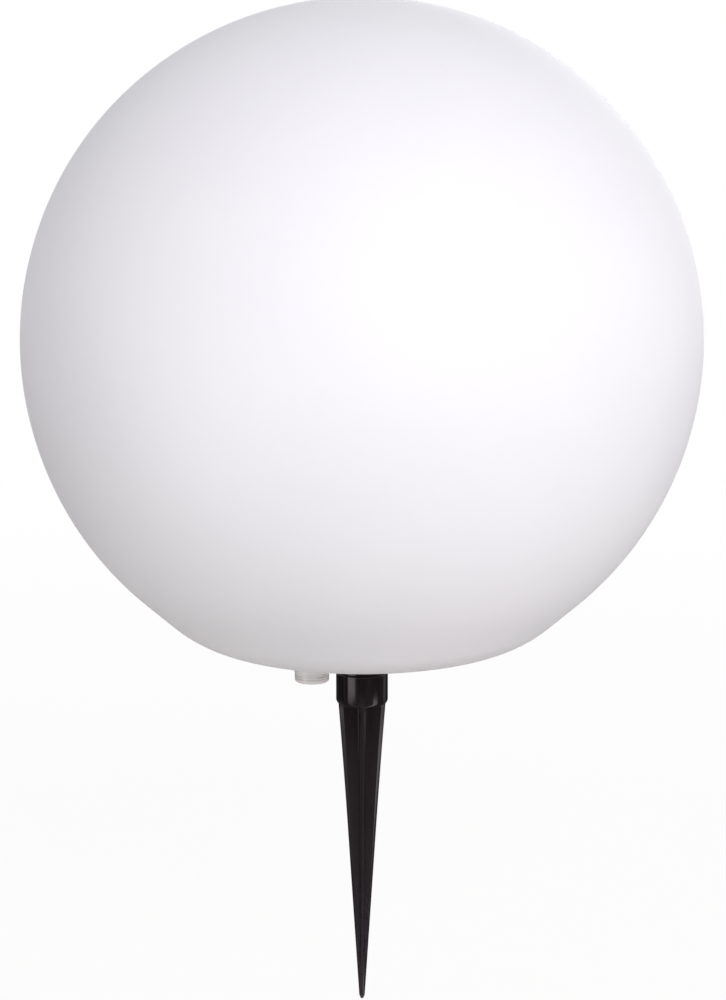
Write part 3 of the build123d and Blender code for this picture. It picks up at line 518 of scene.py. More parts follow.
@dataclass(frozen=True)
class PolishedPolypropylene(Moulding):
    """Polypropylene moulded in a polished tool: black, glossy, with faint flow lines down its length.

    Attributes:
        scuffed: colour near the point, where the soil has dulled it.
        scuff_top_mm: height where the dulling starts.
        scuff_low_mm: height where it is strongest.
        scuff_roughness: roughness at the point.
        scuff_bare: value of the scratches up to which the plastic stays clean.
        scuff_full: value from which it is as rough as it gets.
        flow_mm: width of a flow line.
        flow_depth_mm: how deep a flow line is.
        drawn_out: width of the lines and scratches as a share of their length.
    """

    scuffed: str = "#332B31"
    scuff_top_mm: float = -50.0
    scuff_low_mm: float = -140.0
    scuff_roughness: float = 0.42
    scuff_bare: float = 0.4
    scuff_full: float = 0.6
    flow_mm: float = 2.2
    flow_depth_mm: float = 0.012
    drawn_out: float = 0.06

    def pattern(self, tree: Tree, surface: Node, place: Socket) -> None:
        """Flow lines, fine scratches and a duller point.

        Args:
            tree: the material's node tree.
            surface: its shader.
            place: place in the light's own frame, in metres.
        """
        height = add_node(tree, "ShaderNodeSeparateXYZ", links={"Vector": place}).outputs["Z"]
        span = {"From Min": self.scuff_top_mm * MM, "From Max": self.scuff_low_mm * MM}
        wear = add_node(tree, "ShaderNodeMapRange", span, {"Value": height}).outputs["Result"]
        longer = {"vector_type": "POINT", "Scale": (1.0, 1.0, self.drawn_out)}
        along = {"Vector": add_node(tree, "ShaderNodeMapping", longer, {"Vector": place}).outputs["Vector"]}
        flow = add_node(tree, "ShaderNodeTexNoise", grains_of(self.flow_mm), along).outputs["Fac"]
        scratches = add_node(tree, "ShaderNodeTexNoise", grains_of(self.grain_mm), along).outputs["Fac"]
        self.colour(tree, surface, wear, flow, scratches)
        self.sheen(tree, surface, wear, flow, scratches)
        lines = add_node(tree, "ShaderNodeBump", {"Distance": self.flow_depth_mm * MM}, {"Height": flow})
        fine = {"Height": scratches, "Normal": lines.outputs["Normal"]}
        bump = add_node(tree, "ShaderNodeBump", {"Distance": self.grain_depth_mm * MM}, fine)
        tree.links.new(bump.outputs["Normal"], surface.inputs["Normal"])

    def colour(self, tree: Tree, surface: Node, wear: Socket, flow: Socket, scratches: Socket) -> None:
        """Black that pales along the scratches where it is worn.

        Args:
            tree: the material's node tree.
            surface: its shader.
            wear: 0 where the plastic is clean and 1 at the point.
            flow: the flow lines.
            scratches: the scratches.
        """
        stops = [(FINE_LOW, self.dark), (FINE_HIGH, self.light)]
        clean = add_node(tree, "ShaderNodeValToRGB", links={"Fac": flow}, stops=stops).outputs["Color"]
        stops = [(self.scuff_bare, self.light), (FINE_HIGH, self.scuffed)]
        worn = add_node(tree, "ShaderNodeValToRGB", links={"Fac": scratches}, stops=stops).outputs["Color"]
        both = {MIX_SHARE: wear, COLOUR_A: clean, COLOUR_B: worn}
        mixed = add_node(tree, "ShaderNodeMix", {"data_type": "RGBA"}, both)
        tree.links.new(mixed.outputs[MIXED_COLOUR], surface.inputs["Base Color"])

    def sheen(self, tree: Tree, surface: Node, wear: Socket, flow: Socket, scratches: Socket) -> None:
        """Gloss that the flow lines vary and the scratches break.

        Args:
            tree: the material's node tree.
            surface: its shader.
            wear: 0 where the plastic is clean and 1 at the point.
            flow: the flow lines.
            scratches: the scratches.
        """
        span = {"From Min": FINE_LOW, "From Max": FINE_HIGH, "To Min": self.smooth, "To Max": self.rough}
        gloss = add_node(tree, "ShaderNodeMapRange", span, {"Value": flow}).outputs["Result"]
        span = {"From Min": self.scuff_bare, "From Max": self.scuff_full}
        span |= {"To Min": self.rough, "To Max": self.scuff_roughness}
        dull = add_node(tree, "ShaderNodeMapRange", span, {"Value": scratches}).outputs["Result"]
        both = {MIX_SHARE: wear, FLOAT_A: gloss, FLOAT_B: dull}
        mixed = add_node(tree, "ShaderNodeMix", {"data_type": "FLOAT"}, both)
        tree.links.new(mixed.outputs[MIXED_FLOAT], surface.inputs["Roughness"])


class ToolMarks(Enum):
    """How the fine lines lie that a tool leaves in metal, as a wave texture draws them."""

    STACKED = {"wave_type": "BANDS", "bands_direction": "Z"}
    FACED = {"wave_type": "RINGS", "rings_direction": "Z"}


@dataclass(frozen=True)
class TurnedMetal(Finish):
    """Metal cut on a lathe or drawn through a die: fine lines round it that spread its highlights.

    Attributes:
        dark: colour in the stains.
        light: colour between them.
        marks: how the lines lie.
        line_mm: spacing of the lines. Real ones are near 0.05 mm, so these are drawn coarser to show.
        line_depth_mm: how deep they are.
        line_drift: how far a line strays, as the wave texture's distortion.
        stain_mm: width of a faint stain.
        stain_core: value of the stains up to which they are darkest.
        smooth: lowest roughness.
        rough: highest roughness.
    """

    dark: str = "#909294"
    light: str = "#C2C4C6"
    marks: ToolMarks = ToolMarks.STACKED
    line_mm: float = 0.35
    line_depth_mm: float = 0.006
    line_drift: float = 0.6
    stain_mm: float = 6.0
    stain_core: float = 0.25
    smooth: float = 0.22
    rough: float = 0.38

    def pattern(self, tree: Tree, surface: Node, place: Socket) -> None:
        """Lines, with stains and a sheen that drifts.

        Args:
            tree: the material's node tree.
            surface: its shader.
            place: place in the light's own frame, in metres.
        """
        noises = add_node(tree, "ShaderNodeTexNoise", grains_of(self.stain_mm), {"Vector": place})
        stains = noises.outputs["Fac"]
        stops = [(self.stain_core, self.dark), (CLOUD_HIGH, self.light)]
        colour = add_node(tree, "ShaderNodeValToRGB", links={"Fac": stains}, stops=stops)
        tree.links.new(colour.outputs["Color"], surface.inputs["Base Color"])
        span = {"From Min": CLOUD_LOW, "From Max": CLOUD_HIGH, "To Min": self.rough, "To Max": self.smooth}
        sheen = add_node(tree, "ShaderNodeMapRange", span, {"Value": stains})
        tree.links.new(sheen.outputs["Result"], surface.inputs["Roughness"])
        waves = self.marks.value | {"Scale": waves_per_metre(self.line_mm), "Distortion": self.line_drift}
        lines = add_node(tree, "ShaderNodeTexWave", waves, {"Vector": place}).outputs["Fac"]
        bump = add_node(tree, "ShaderNodeBump", {"Distance": self.line_depth_mm * MM}, {"Height": lines})
        tree.links.new(bump.outputs["Normal"], surface.inputs["Normal"])


@dataclass(frozen=True)
class PrintedBoard(Finish):
    """Glass-epoxy board under solder mask: tracks show as paler lines, with the glass weave below.

    Attributes:
        mask: colour of the mask over bare board.
        track: colour of the mask over copper.
        pitch_mm: spacing of the tracks.
        cell_pitches: size of the squares that the tracks run round, in spacings.
        cell_disorder: how unevenly the squares lie, where 1 is at random.
        ring_share: one spacing, as a share of a square's distance field.
        track_low: distance from a track's middle where its slope starts, in the same field.
        track_high: distance where it ends.
        copper_mm: how far a track stands up.
        weave_mm: spacing of the glass threads. Real ones are near 0.2 mm, so these are drawn coarser to show.
        weave_depth_mm: how deep the weave prints through.
        smooth: roughness over copper.
        rough: roughness over bare board.
    """

    mask: str = "#0E4A2C"
    track: str = "#1C6B40"
    pitch_mm: float = 1.27
    cell_pitches: float = 4.0
    cell_disorder: float = 0.7
    ring_share: float = 0.125
    track_low: float = 0.055
    track_high: float = 0.07
    copper_mm: float = 0.02
    weave_mm: float = 0.5
    weave_depth_mm: float = 0.003
    smooth: float = 0.28
    rough: float = 0.36

    def pattern(self, tree: Tree, surface: Node, place: Socket) -> None:
        """Square-cornered tracks and a fine weave.

        Args:
            tree: the material's node tree.
            surface: its shader.
            place: place in the light's own frame, in metres.
        """
        squares = {"distance": "CHEBYCHEV", "Scale": per_metre(self.cell_pitches * self.pitch_mm)}
        squares |= {"Randomness": self.cell_disorder}
        reach = add_node(tree, "ShaderNodeTexVoronoi", squares, {"Vector": place}).outputs["Distance"]
        there_and_back = {"operation": "PINGPONG", 1: self.ring_share}
        rings = add_node(tree, "ShaderNodeMath", there_and_back, {0: reach}).outputs[0]
        span = {"From Min": self.track_low, "From Max": self.track_high}
        tracks = add_node(tree, "ShaderNodeMapRange", span, {"Value": rings}).outputs["Result"]
        stops = [(0.0, self.mask), (1.0, self.track)]
        colour = add_node(tree, "ShaderNodeValToRGB", links={"Fac": tracks}, stops=stops)
        tree.links.new(colour.outputs["Color"], surface.inputs["Base Color"])
        span = {"To Min": self.rough, "To Max": self.smooth}
        sheen = add_node(tree, "ShaderNodeMapRange", span, {"Value": tracks})
        tree.links.new(sheen.outputs["Result"], surface.inputs["Roughness"])
        weave = {"wave_type": "BANDS", "bands_direction": "DIAGONAL", "Scale": waves_per_metre(self.weave_mm)}
        threads = add_node(tree, "ShaderNodeTexWave", weave, {"Vector": place}).outputs["Fac"]
        under = add_node(tree, "ShaderNodeBump", {"Distance": self.weave_depth_mm * MM}, {"Height": threads})
        raised = {"Height": tracks, "Normal": under.outputs["Normal"]}
        bump = add_node(tree, "ShaderNodeBump", {"Distance": self.copper_mm * MM}, raised)
        tree.links.new(bump.outputs["Normal"], surface.inputs["Normal"])


@dataclass(frozen=True)
class TwoZone(Moulding):
    """Two colours that meet on a plane, such as a light chip's white body and its yellow phosphor.

    Attributes:
        other: colour past the plane.
        other_full: value of the clouds up to which it is pure.
        other_gone: value from which it is as light as the rest.
        normal: direction across the plane.
        level_mm: where the plane stands along that direction.
    """

    other: str = "#F0D060"
    other_full: float = 0.2
    other_gone: float = 0.9
    normal: tuple[float, float, float] = (0.0, 0.0, 1.0)
    level_mm: float = 0.0

    def pattern(self, tree: Tree, surface: Node, place: Socket) -> None:
        """Clouded colour on each side of the plane.

        Args:
            tree: the material's node tree.
            surface: its shader.
            place: place in the light's own frame, in metres.
        """
        clouds = self.clouds(tree, surface, place)
        across = {"operation": "DOT_PRODUCT", 1: self.normal}
        along = add_node(tree, "ShaderNodeVectorMath", across, {0: place}).outputs["Value"]
        past = {"operation": "GREATER_THAN", 1: self.level_mm * MM}
        side = add_node(tree, "ShaderNodeMath", past, {0: along}).outputs[0]
        near = surface.inputs["Base Color"].links[0].from_socket
        stops = [(self.other_full, self.other), (self.other_gone, self.light)]
        far = add_node(tree, "ShaderNodeValToRGB", links={"Fac": clouds}, stops=stops).outputs["Color"]
        both = {MIX_SHARE: side, COLOUR_A: near, COLOUR_B: far}
        mixed = add_node(tree, "ShaderNodeMix", {"data_type": "RGBA"}, both)
        tree.links.new(mixed.outputs[MIXED_COLOUR], surface.inputs["Base Color"])
        self.grain(tree, surface, place)


class Stock(Enum):
    """The finishes that the light is made in."""

    # Rotomoulded polyethylene: milky and silky, with light soaking a little way into the wall.
    GLOBE = RotomouldedPolyethylene(
        "rotomoulded_polyethylene",
        {
            "IOR": 1.51,
            "Subsurface Weight": 0.25,
            "Subsurface Radius": (1.0, 1.0, 1.0),
            "Subsurface Scale": 0.006,
        },
        dark="#F6F4FD",
        light="#F8F6FE",
        grain_mm=1.1,
        grain_depth_mm=0.005,
        cloud_mm=60.0,
        smooth=0.56,
        rough=0.62,
    )
    # ABS from a spark-eroded tool: a cooler, crisper white than the globe, with a satin sheen.
    WHITE_ABS = Moulding(
        "moulded_white_abs",
        {"IOR": 1.54, "Subsurface Weight": 0.08, "Subsurface Scale": 0.001},
        dark="#EBE8EA",
        light="#F3F0F2",
        grain_mm=0.5,
        grain_depth_mm=0.008,
        smooth=0.3,
        rough=0.4,
    )
    # Polypropylene from a polished tool: deep black with sharp reflections, duller at the soiled point.
    SPIKE = PolishedPolypropylene(
        "polished_black_polypropylene",
        {"IOR": 1.49},
        dark="#120D10",
        light="#181216",
        grain_mm=0.35,
        grain_depth_mm=0.006,
        smooth=0.13,
        rough=0.2,
    )
    # Glass-filled nylon: charcoal, with the matt bloom of its fibres.
    BLACK_NYLON = Moulding(
        "moulded_black_nylon",
        {"IOR": 1.53},
        dark="#141415",
        light="#1D1D1F",
        grain_mm=0.4,
        grain_depth_mm=0.012,
        cloud_mm=5.0,
        smooth=0.4,
        rough=0.55,
    )
    # Silicone pressed in a mould: dark grey, dry and dull.
    RUBBER = Moulding(
        "pressed_silicone_rubber",
        {"IOR": 1.43},
        dark="#2B2C2D",
        light="#37383A",
        grain_mm=0.45,
        grain_depth_mm=0.015,
        cloud_mm=4.0,
        smooth=0.62,
        rough=0.8,
    )
    # Stainless steel, drawn and turned: cool grey with highlights drawn out by fine lines.
    STEEL = TurnedMetal("drawn_stainless_steel", {"Metallic": 1.0})
    # Brass turned on a lathe: warm yellow with brighter rings.
    BRASS = TurnedMetal(
        "turned_brass", {"Metallic": 1.0}, dark="#9C7A34", light="#D2AE62", smooth=0.2, rough=0.32
    )
    # Aluminium faced on a lathe: pale, with rings that fan its highlight.
    ALUMINIUM = TurnedMetal(
        "faced_aluminium",
        {"Metallic": 1.0},
        dark="#B4B6B8",
        light="#D4D6D8",
        marks=ToolMarks.FACED,
        line_mm=0.5,
        smooth=0.3,
        rough=0.42,
    )
    # Glass epoxy under green mask: glossy, with paler tracks.
    BOARD = PrintedBoard("masked_glass_epoxy", {"IOR": 1.52})
    # Board under white mask, which throws the light back: bright, with tracks barely raised.
    LIGHT_BOARD = PrintedBoard(
        "white_masked_board", {"IOR": 1.52}, mask="#ECECE8", track="#F4F4F0", pitch_mm=2.0
    )
    # Unfilled nylon: ivory and a little see-through.
    CONNECTOR = Moulding(
        "natural_nylon",
        {"IOR": 1.53, "Subsurface Weight": 0.15, "Subsurface Scale": 0.001},
        dark="#D9D2BC",
        light="#E6DFCB",
        cloud_mm=3.0,
    )
    # Epoxy moulded round a chip: near black and matt.
    COMPONENT = Moulding(
        "moulded_epoxy",
        {"IOR": 1.55},
        dark="#161617",
        light="#252527",
        grain_mm=0.3,
        cloud_mm=2.0,
        smooth=0.5,
        rough=0.65,
    )
    # PVC sleeve shrunk on by heat: blue, glossy, with shallow ripples.
    CELL = Moulding(
        "shrunk_pvc_sleeve",
        {"IOR": 1.53, "Coat Weight": 0.2},
        dark="#234C6E",
        light="#2E5F87",
        grain_mm=3.0,
        grain_depth_mm=0.03,
        cloud_mm=15.0,
        smooth=0.22,
        rough=0.34,
    )
    # Clear polycarbonate: glassy, with the light board showing through.
    LENS = Moulding(
        "moulded_clear_polycarbonate",
        {"IOR": 1.585, "Transmission Weight": 1.0},
        dark="#F2F5F6",
        light="#FAFCFC",
        grain_mm=2.5,
        grain_depth_mm=0.004,
        smooth=0.04,
        rough=0.09,
    )


# ---------------------------------------------------------------- what is dressed


@dataclass
class Assembly:
    """A sub-assembly: it dresses nodes of the frame and may build meshes of its own.

    Attributes:
        finishes: materials that are made already, by finish name.
    """

    frame: dict
    finishes: dict[str, Material]

    def build(self) -> None:
        """Build the sub-assembly's own meshes and dress its nodes."""
        raise NotImplementedError

    def material(self, finish: Finish) -> Material:
        """The material of a finish, made once.

        Args:
            finish: the finish.

        Returns:
            Its material.
        """
        if finish.name not in self.finishes:
            self.finishes[finish.name] = finish.build()
        return self.finishes[finish.name]

    def dress(self, finish: Stock | Finish, *nodes: str) -> None:
        """Give nodes of the frame a finish.

        Args:
            finish: the finish.
            nodes: names of the nodes.
        """
        material = self.material(finish.value if isinstance(finish, Stock) else finish)
        for name in nodes:
            for slot in self.frame["nodes"][name].material_slots:
                slot.material = material
            LOG.info("%s: %s", name, material.name)

    def place(self, piece: Object, stock: Stock, body: str, slot: str, node: str) -> None:
        """Finish a mesh of this assembly's own and put it in a node's place.

        Args:
            piece: the mesh object.
            stock: its finish.
            body: body of the frame that it moves with.
            slot: name of a material slot of the record; not used.
            node: node that it stands for.
        """
        piece.data.materials.clear()
        piece.data.materials.append(self.material(stock.value))
        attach(piece, body)
        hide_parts(node)
        LOG.info("%s: %d faces, in place of %s", piece.name, len(piece.data.polygons), node)


@dataclass
class Globe(Assembly):
    """The moulded ball with its flat foot, recess, ledge, neck and screw bosses, in millimetres.

    Attributes:
        wall: thickness of the moulded wall.
        shoulder_slope_deg: slope of the short straight shoulder above the foot.
        foot_round: radius of the bend from the shoulder to the foot.
        recess_radius: recess in the foot that the base plate sits in.
        mouth_radius: hole that the light unit goes through.
        ledge_rise: height of the ledge above the foot.
        neck_height: height of the stiffening neck above the ledge.
        rim_round: rounding of the edges of recess, ledge and neck.
        outside_steps: straight pieces in the outside, from the top to the shoulder.
        inside_steps: straight pieces in the inside.
        bend_share: the bend at the foot has this many times fewer.
        rim_steps: straight pieces in the rounding of the recess's edge.
        neck_steps: straight pieces in a rounding of the neck.
        segments: steps round the ball and the neck.
        sharp_deg: an edge that turns by more than this stays sharp.
        overlap: how far a tool reaches into what it joins.
        screw_circle: radius that the screws stand on.
        screw_count: number of screws.
        first_screw_deg: where the first screw stands round the axis.
        peg_segments: steps round a boss or a hole.
        boss_radius: radius of a boss.
        boss_rise: its top above the foot.
        insert_radius: radius of the hole for a brass insert.
        insert_low: its lower end above the foot.
        insert_length: its length.
        hole_radius: radius of the screw's hole below the insert.
        unevenness: most that the skin stands back from a true ball.
        waves: slow waves of the skin in one radius of the ball.
    """

    wall: float = 2.6
    shoulder_slope_deg: float = 41.0
    foot_round: float = 52.0
    recess_radius: float = 56.5
    mouth_radius: float = 49.0
    ledge_rise: float = 4.6
    neck_height: float = 8.0
    rim_round: float = 0.5
    outside_steps: int = 150
    inside_steps: int = 70
    bend_share: int = 3
    rim_steps: int = 4
    neck_steps: int = 3
    segments: int = 224
    sharp_deg: float = 40.0
    overlap: float = 1.0
    screw_circle: float = 52.4
    screw_count: int = 4
    first_screw_deg: float = 45.0
    peg_segments: int = 32
    boss_radius: float = 4.2
    boss_rise: float = 13.5
    insert_radius: float = 2.5
    insert_low: float = 5.8
    insert_length: float = 6.0
    hole_radius: float = 1.8
    unevenness: float = 0.3
    waves: float = 2.6

    def build(self) -> None:
        """Make the globe and dress its inserts."""
        low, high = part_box("globe_shell")
        foot = low.z / MM
        radius = (high.x - low.x) / 2 / MM
        centre = high.z / MM - radius
        ball = self.ball(radius, centre, foot)
        neck = self.neck(foot)
        ball.data.materials.clear()
        pair = [ball, neck]
        with bpy.context.temp_override(
            active_object=ball, object=ball, selected_editable_objects=pair, selected_objects=pair
        ):
            bpy.ops.object.join()
        self.place(ball, Stock.GLOBE, "globe", "globe_polyethylene", "globe_shell")
        self.dress(Stock.BRASS, "thread_inserts")

    def ball(self, radius: float, centre: float, foot: float) -> Object:
        """Thin ball down to the edge of the recess in its foot.

        Args:
            radius: the ball's radius.
            centre: height of its centre.
            foot: height of its flat foot.

        Returns:
            The ball, its skin slightly uneven.
        """
        outside = self.half_outline(radius, self.foot_round, centre, foot, self.outside_steps)
        inner = radius - self.wall
        inner_round = self.foot_round - self.wall
        inside = self.half_outline(inner, inner_round, centre, foot + self.wall, self.inside_steps)
        rim = self.rim_round
        edge = arc((self.recess_radius + rim, outside[-1][1] + rim), rim, -90, -180, self.rim_steps)
        outline = outside + edge[1:] + [(self.recess_radius, foot + self.wall)] + inside[::-1]
        points, faces = revolve(outline, self.segments)
        middle = Vector((0, 0, centre))
        fade_height = foot + 2 * self.foot_round
        for point in points:
            share = min(1.0, max(0.0, (point.z - foot) / (fade_height - foot)))
            outward = (point - middle).normalized()
            drift = 0.5 + 0.5 * noise.noise(outward * self.waves)
            point -= outward * self.unevenness * drift * share
        return mesh_object("globe_skin", points, faces, self.sharp_deg)

    def half_outline(
        self, radius: float, rounding: float, centre: float, foot: float, steps: int
    ) -> list[Point]:
        """Ball's outline from its top, round its fuller shoulder, to the recess in its foot.

        Args:
            radius: the ball's radius.
            rounding: radius of the bend from the straight shoulder to the foot.
            centre: height of the ball's centre.
            foot: height of the flat foot.
            steps: how many straight pieces the ball has.

        Returns:
            Points as radius and height.
        """
        slope = math.radians(self.shoulder_slope_deg)
        tangent = self.shoulder_slope_deg - 90
        ball = arc((0, centre), radius, 90, tangent, steps)
        rise = centre - radius * math.cos(slope) - foot
        bend_x = radius * math.sin(slope) - rise / math.tan(slope) - rounding * math.tan(slope / 2)
        recess_edge = self.recess_radius + self.rim_round
        end = math.degrees(math.asin((recess_edge - bend_x) / rounding)) - 90
        return ball + arc((bend_x, foot + rounding), rounding, tangent, end, steps // self.bend_share)

    def neck(self, foot: float) -> Object:
        """Ring inside the foot: recess wall, ledge, stiffening neck and the bosses for the inserts.

        Args:
            foot: height of the flat foot.

        Returns:
            The ring, with its screw holes.
        """
        base = foot + self.wall
        ledge = foot + self.ledge_rise
        top = ledge + self.wall
        outline = rounded(
            [
                (self.recess_radius, base, 0),
                (self.recess_radius, ledge, self.rim_round),
                (self.mouth_radius, ledge, self.rim_round),
                (self.mouth_radius, top + self.neck_height, self.rim_round),
                (self.mouth_radius + self.wall, top + self.neck_height, self.rim_round),
                (self.mouth_radius + self.wall, top, self.rim_round),
                (self.recess_radius + self.wall, top, self.rim_round),
                (self.recess_radius + self.wall, base, 0),
            ],
            self.neck_steps,
        )
        ring = mesh_object("globe_neck", *revolve(outline, self.segments), self.sharp_deg)
        insert_low = foot + self.insert_low
        first = self.first_screw_deg
        for x, y in arc((0, 0), self.screw_circle, first, first + 360, self.screw_count)[:-1]:
            boss = self.peg(self.boss_radius, top - self.overlap, foot + self.boss_rise, x, y)
            combine(ring, boss, Work.ADD)
            hole = self.peg(self.hole_radius, foot, insert_low + self.overlap, x, y)
            combine(ring, hole, Work.CUT)
            seat = self.peg(self.insert_radius, insert_low, insert_low + self.insert_length, x, y)
            combine(ring, seat, Work.CUT)
        ring.data.shade_smooth()
        ring.data.set_sharp_from_angle(angle=math.radians(self.sharp_deg))
        return ring

    def peg(self, radius: float, low: float, high: float, x: float, y: float) -> Object:
        """Round peg that adds a boss or cuts a hole.

        Args:
            radius: the peg's radius.
            low: height of its lower end.
            high: height of its upper end.
            x: place of its axis.
            y: place of its axis.

        Returns:
            The peg.
        """
        circle = arc((x, y), radius, 0, 360, self.peg_segments)[:-1]
        rings = [[Vector((a, b, z)) for a, b in circle] for z in (low, high)]
        return mesh_object("peg", *skin(rings, closed=False), self.sharp_deg)


@dataclass
class GroundSpike(Assembly):
    """The spike's collar and its four tapered blades with softly rounded edges, in millimetres.

    Attributes:
        collar_radius: outside radius of the collar.
        collar_length: its length.
        collar_round: rounding of its lower edge.
        collar_chamfer: bevel of its upper edge.
        socket_radius: bore for the light's peg.
        socket_floor: thickness of the floor under the bore.
        key_half_width: half the width of the keyway.
        key_reach: how far the keyway reaches from the axis.
        overlap: how far the keyway's tool reaches past the collar.
        blade_length: length of a blade, from the collar to the point.
        blade_reach: how far a blade reaches from the axis at its root.
        blade_thickness: its thickness there.
        blade_bevel: how far its bevel reaches inward there.
        blade_edge: width of its flat edge there.
        tip_reach: how far a blade reaches from the axis at the point.
        tip_thickness: its thickness there.
        tip_length: length of the blunt end.
        tip_blunting: share of its width that the blunt end loses.
        blade_turn: turn of the blades from the light's front, in degrees.
        edge_round: rounding of a blade's edges.
        root_reach: extra reach of a blade at its root.
        root_length: length over which that dies away.
        root_round: rounding between two blades.
        flare: height of the small fillet under the collar.
        flare_share: its depth as a share of its height.
        flare_rows: rows of points down the fillet.
        rows: rows of points down a blade.
        collar_steps: straight pieces in a rounding of the collar.
        edge_steps: straight pieces in a rounding of a blade.
        segments: steps round the collar.
        sharp_deg: an edge that turns by more than this stays sharp.
    """

    collar_radius: float = 11.7
    collar_length: float = 15.0
    collar_round: float = 2.5
    collar_chamfer: float = 0.4
    socket_radius: float = 8.08
    socket_floor: float = 2.6
    key_half_width: float = 1.58
    key_reach: float = 9.28
    overlap: float = 1.0
    blade_length: float = 140.0
    blade_reach: float = 10.35
    blade_thickness: float = 3.2
    blade_bevel: float = 2.0
    blade_edge: float = 1.0
    tip_reach: float = 1.25
    tip_thickness: float = 1.7
    tip_length: float = 1.6
    tip_blunting: float = 0.5
    blade_turn: float = 3.0
    edge_round: float = 0.28
    root_reach: float = 0.45
    root_length: float = 60.0
    root_round: float = 0.5
    flare: float = 1.0
    flare_share: float = 0.6
    flare_rows: int = 6
    rows: int = 90
    collar_steps: int = 6
    edge_steps: int = 4
    segments: int = 128
    sharp_deg: float = 34.0

    def build(self) -> None:
        """Make the spike."""
        spike = self.collar()
        combine(spike, self.blades(), Work.ADD)
        spike.name = "spike_moulding"
        spike.data.shade_smooth()
        spike.data.set_sharp_from_angle(angle=math.radians(self.sharp_deg))
        self.place(spike, Stock.SPIKE, "spike", "black_plastic", "ground_spike")

    def collar(self) -> Object:
        """Round collar with the keyed socket that the light's peg stands in.

        Returns:
            The collar.
        """
        top = self.collar_length
        rim = self.collar_chamfer / 2
        outline = rounded(
            [
                (0.0, 0.0, 0),
                (self.collar_radius, 0.0, self.collar_round),
                (self.collar_radius, top - self.collar_chamfer, rim),
                (self.collar_radius - self.collar_chamfer, top, rim),
                (self.socket_radius, top, rim),
                (self.socket_radius, self.socket_floor, 0),
                (0.0, self.socket_floor, 0),
            ],
            self.collar_steps,
        )
        collar = mesh_object("spike_collar", *revolve(outline, self.segments), self.sharp_deg)
        half = self.key_half_width
        slot = [(-half, 0), (half, 0), (half, self.key_reach), (-half, self.key_reach)]
        rings = [[Vector((x, y, z)) for x, y in slot] for z in (self.socket_floor, top + self.overlap)]
        combine(collar, mesh_object("keyway", *skin(rings, closed=False), self.sharp_deg), Work.CUT)
        return collar

    def blades(self) -> Object:
        """Blades, from inside the collar down to the blunt point.

        Returns:
            The blades.
        """
        tip_top = self.tip_length - self.blade_length
        drop = self.collar_round - tip_top
        heights = [self.collar_round - drop * (row / self.rows) for row in range(self.rows + 1)]
        heights += [-self.flare * row / self.flare_rows for row in range(self.flare_rows + 1)]
        rings = [self.section(z) for z in sorted(set(heights), reverse=True)]
        rings += [self.section(z) for z in (tip_top - self.tip_length / 2, -self.blade_length)]
        return mesh_object("blades", *skin(rings, closed=False), self.sharp_deg)

    def section(self, z: float) -> list[Vector]:
        """Outline of the crossed blades at a height.

        Args:
            z: the height.

        Returns:
            The outline's points.
        """
        tip_top = self.tip_length - self.blade_length
        share = min(1.0, (self.collar_round - z) / (self.collar_round - tip_top))
        blunt = 1.0 if z >= tip_top else 1 - self.tip_blunting * (tip_top - z) / self.tip_length
        spread_out = self.root_reach * max(0.0, 1 + min(0.0, z) / self.root_length) ** 2
        reach = blunt * (self.blade_reach + (self.tip_reach - self.blade_reach) * share) + spread_out
        half = blunt * (self.blade_thickness + (self.tip_thickness - self.blade_thickness) * share) / 2
        tip_bevel = (self.tip_reach - self.tip_thickness / 2) / 2
        bevel = blunt * (self.blade_bevel + (tip_bevel - self.blade_bevel) * share)
        edge = blunt * (self.blade_edge + (self.tip_thickness / 2 - self.blade_edge) * share) / 2
        scale = bevel / self.blade_bevel
        grown = self.flare_at(z)
        half += grown
        edge += grown
        outline = []
        for quarter in range(4):
            turn = math.radians(90 * quarter + self.blade_turn)
            arm = [
                (half, -half, self.root_round * scale),
                (reach - bevel, -half, self.edge_round * scale),
                (reach, -edge, self.edge_round * scale),
                (reach, edge, self.edge_round * scale),
                (reach - bevel, half, self.edge_round * scale),
            ]
            for x, y, rounding in arm:
                turned_x = x * math.cos(turn) - y * math.sin(turn)
                turned_y = x * math.sin(turn) + y * math.cos(turn)
                outline.append((turned_x, turned_y, rounding))
        return [Vector((x, y, z)) for x, y in rounded(outline, self.edge_steps)]

    def flare_at(self, z: float) -> float:
        """How much a blade thickens in the small fillet under the collar.

        Args:
            z: the height.

        Returns:
            The growth of half the blade's thickness.
        """
        if z <= -self.flare:
            return 0.0
        depth = max(0.0, -z) / self.flare
        return self.flare_share * self.flare * (1 - math.sqrt(1 - (1 - depth) ** 2))


@dataclass
class SpikeBoss(Assembly):
    """Black boss above the spike, its seal and its screw."""

    def build(self) -> None:
        """Dress the boss."""
        self.dress(Stock.SPIKE, "spike_boss")
        self.dress(Stock.RUBBER, "boss_seal")
        self.dress(Stock.STEEL, "boss_screw")


@dataclass
class BasePlate(Assembly):
    """White plate in the globe's foot, with its gasket and captive screws."""

    def build(self) -> None:
        """Dress the plate."""
        self.dress(Stock.WHITE_ABS, "base_plate")
        self.dress(Stock.RUBBER, "globe_gasket", "screw_retainers")
        self.dress(Stock.STEEL, "globe_screws", "housing_screws")


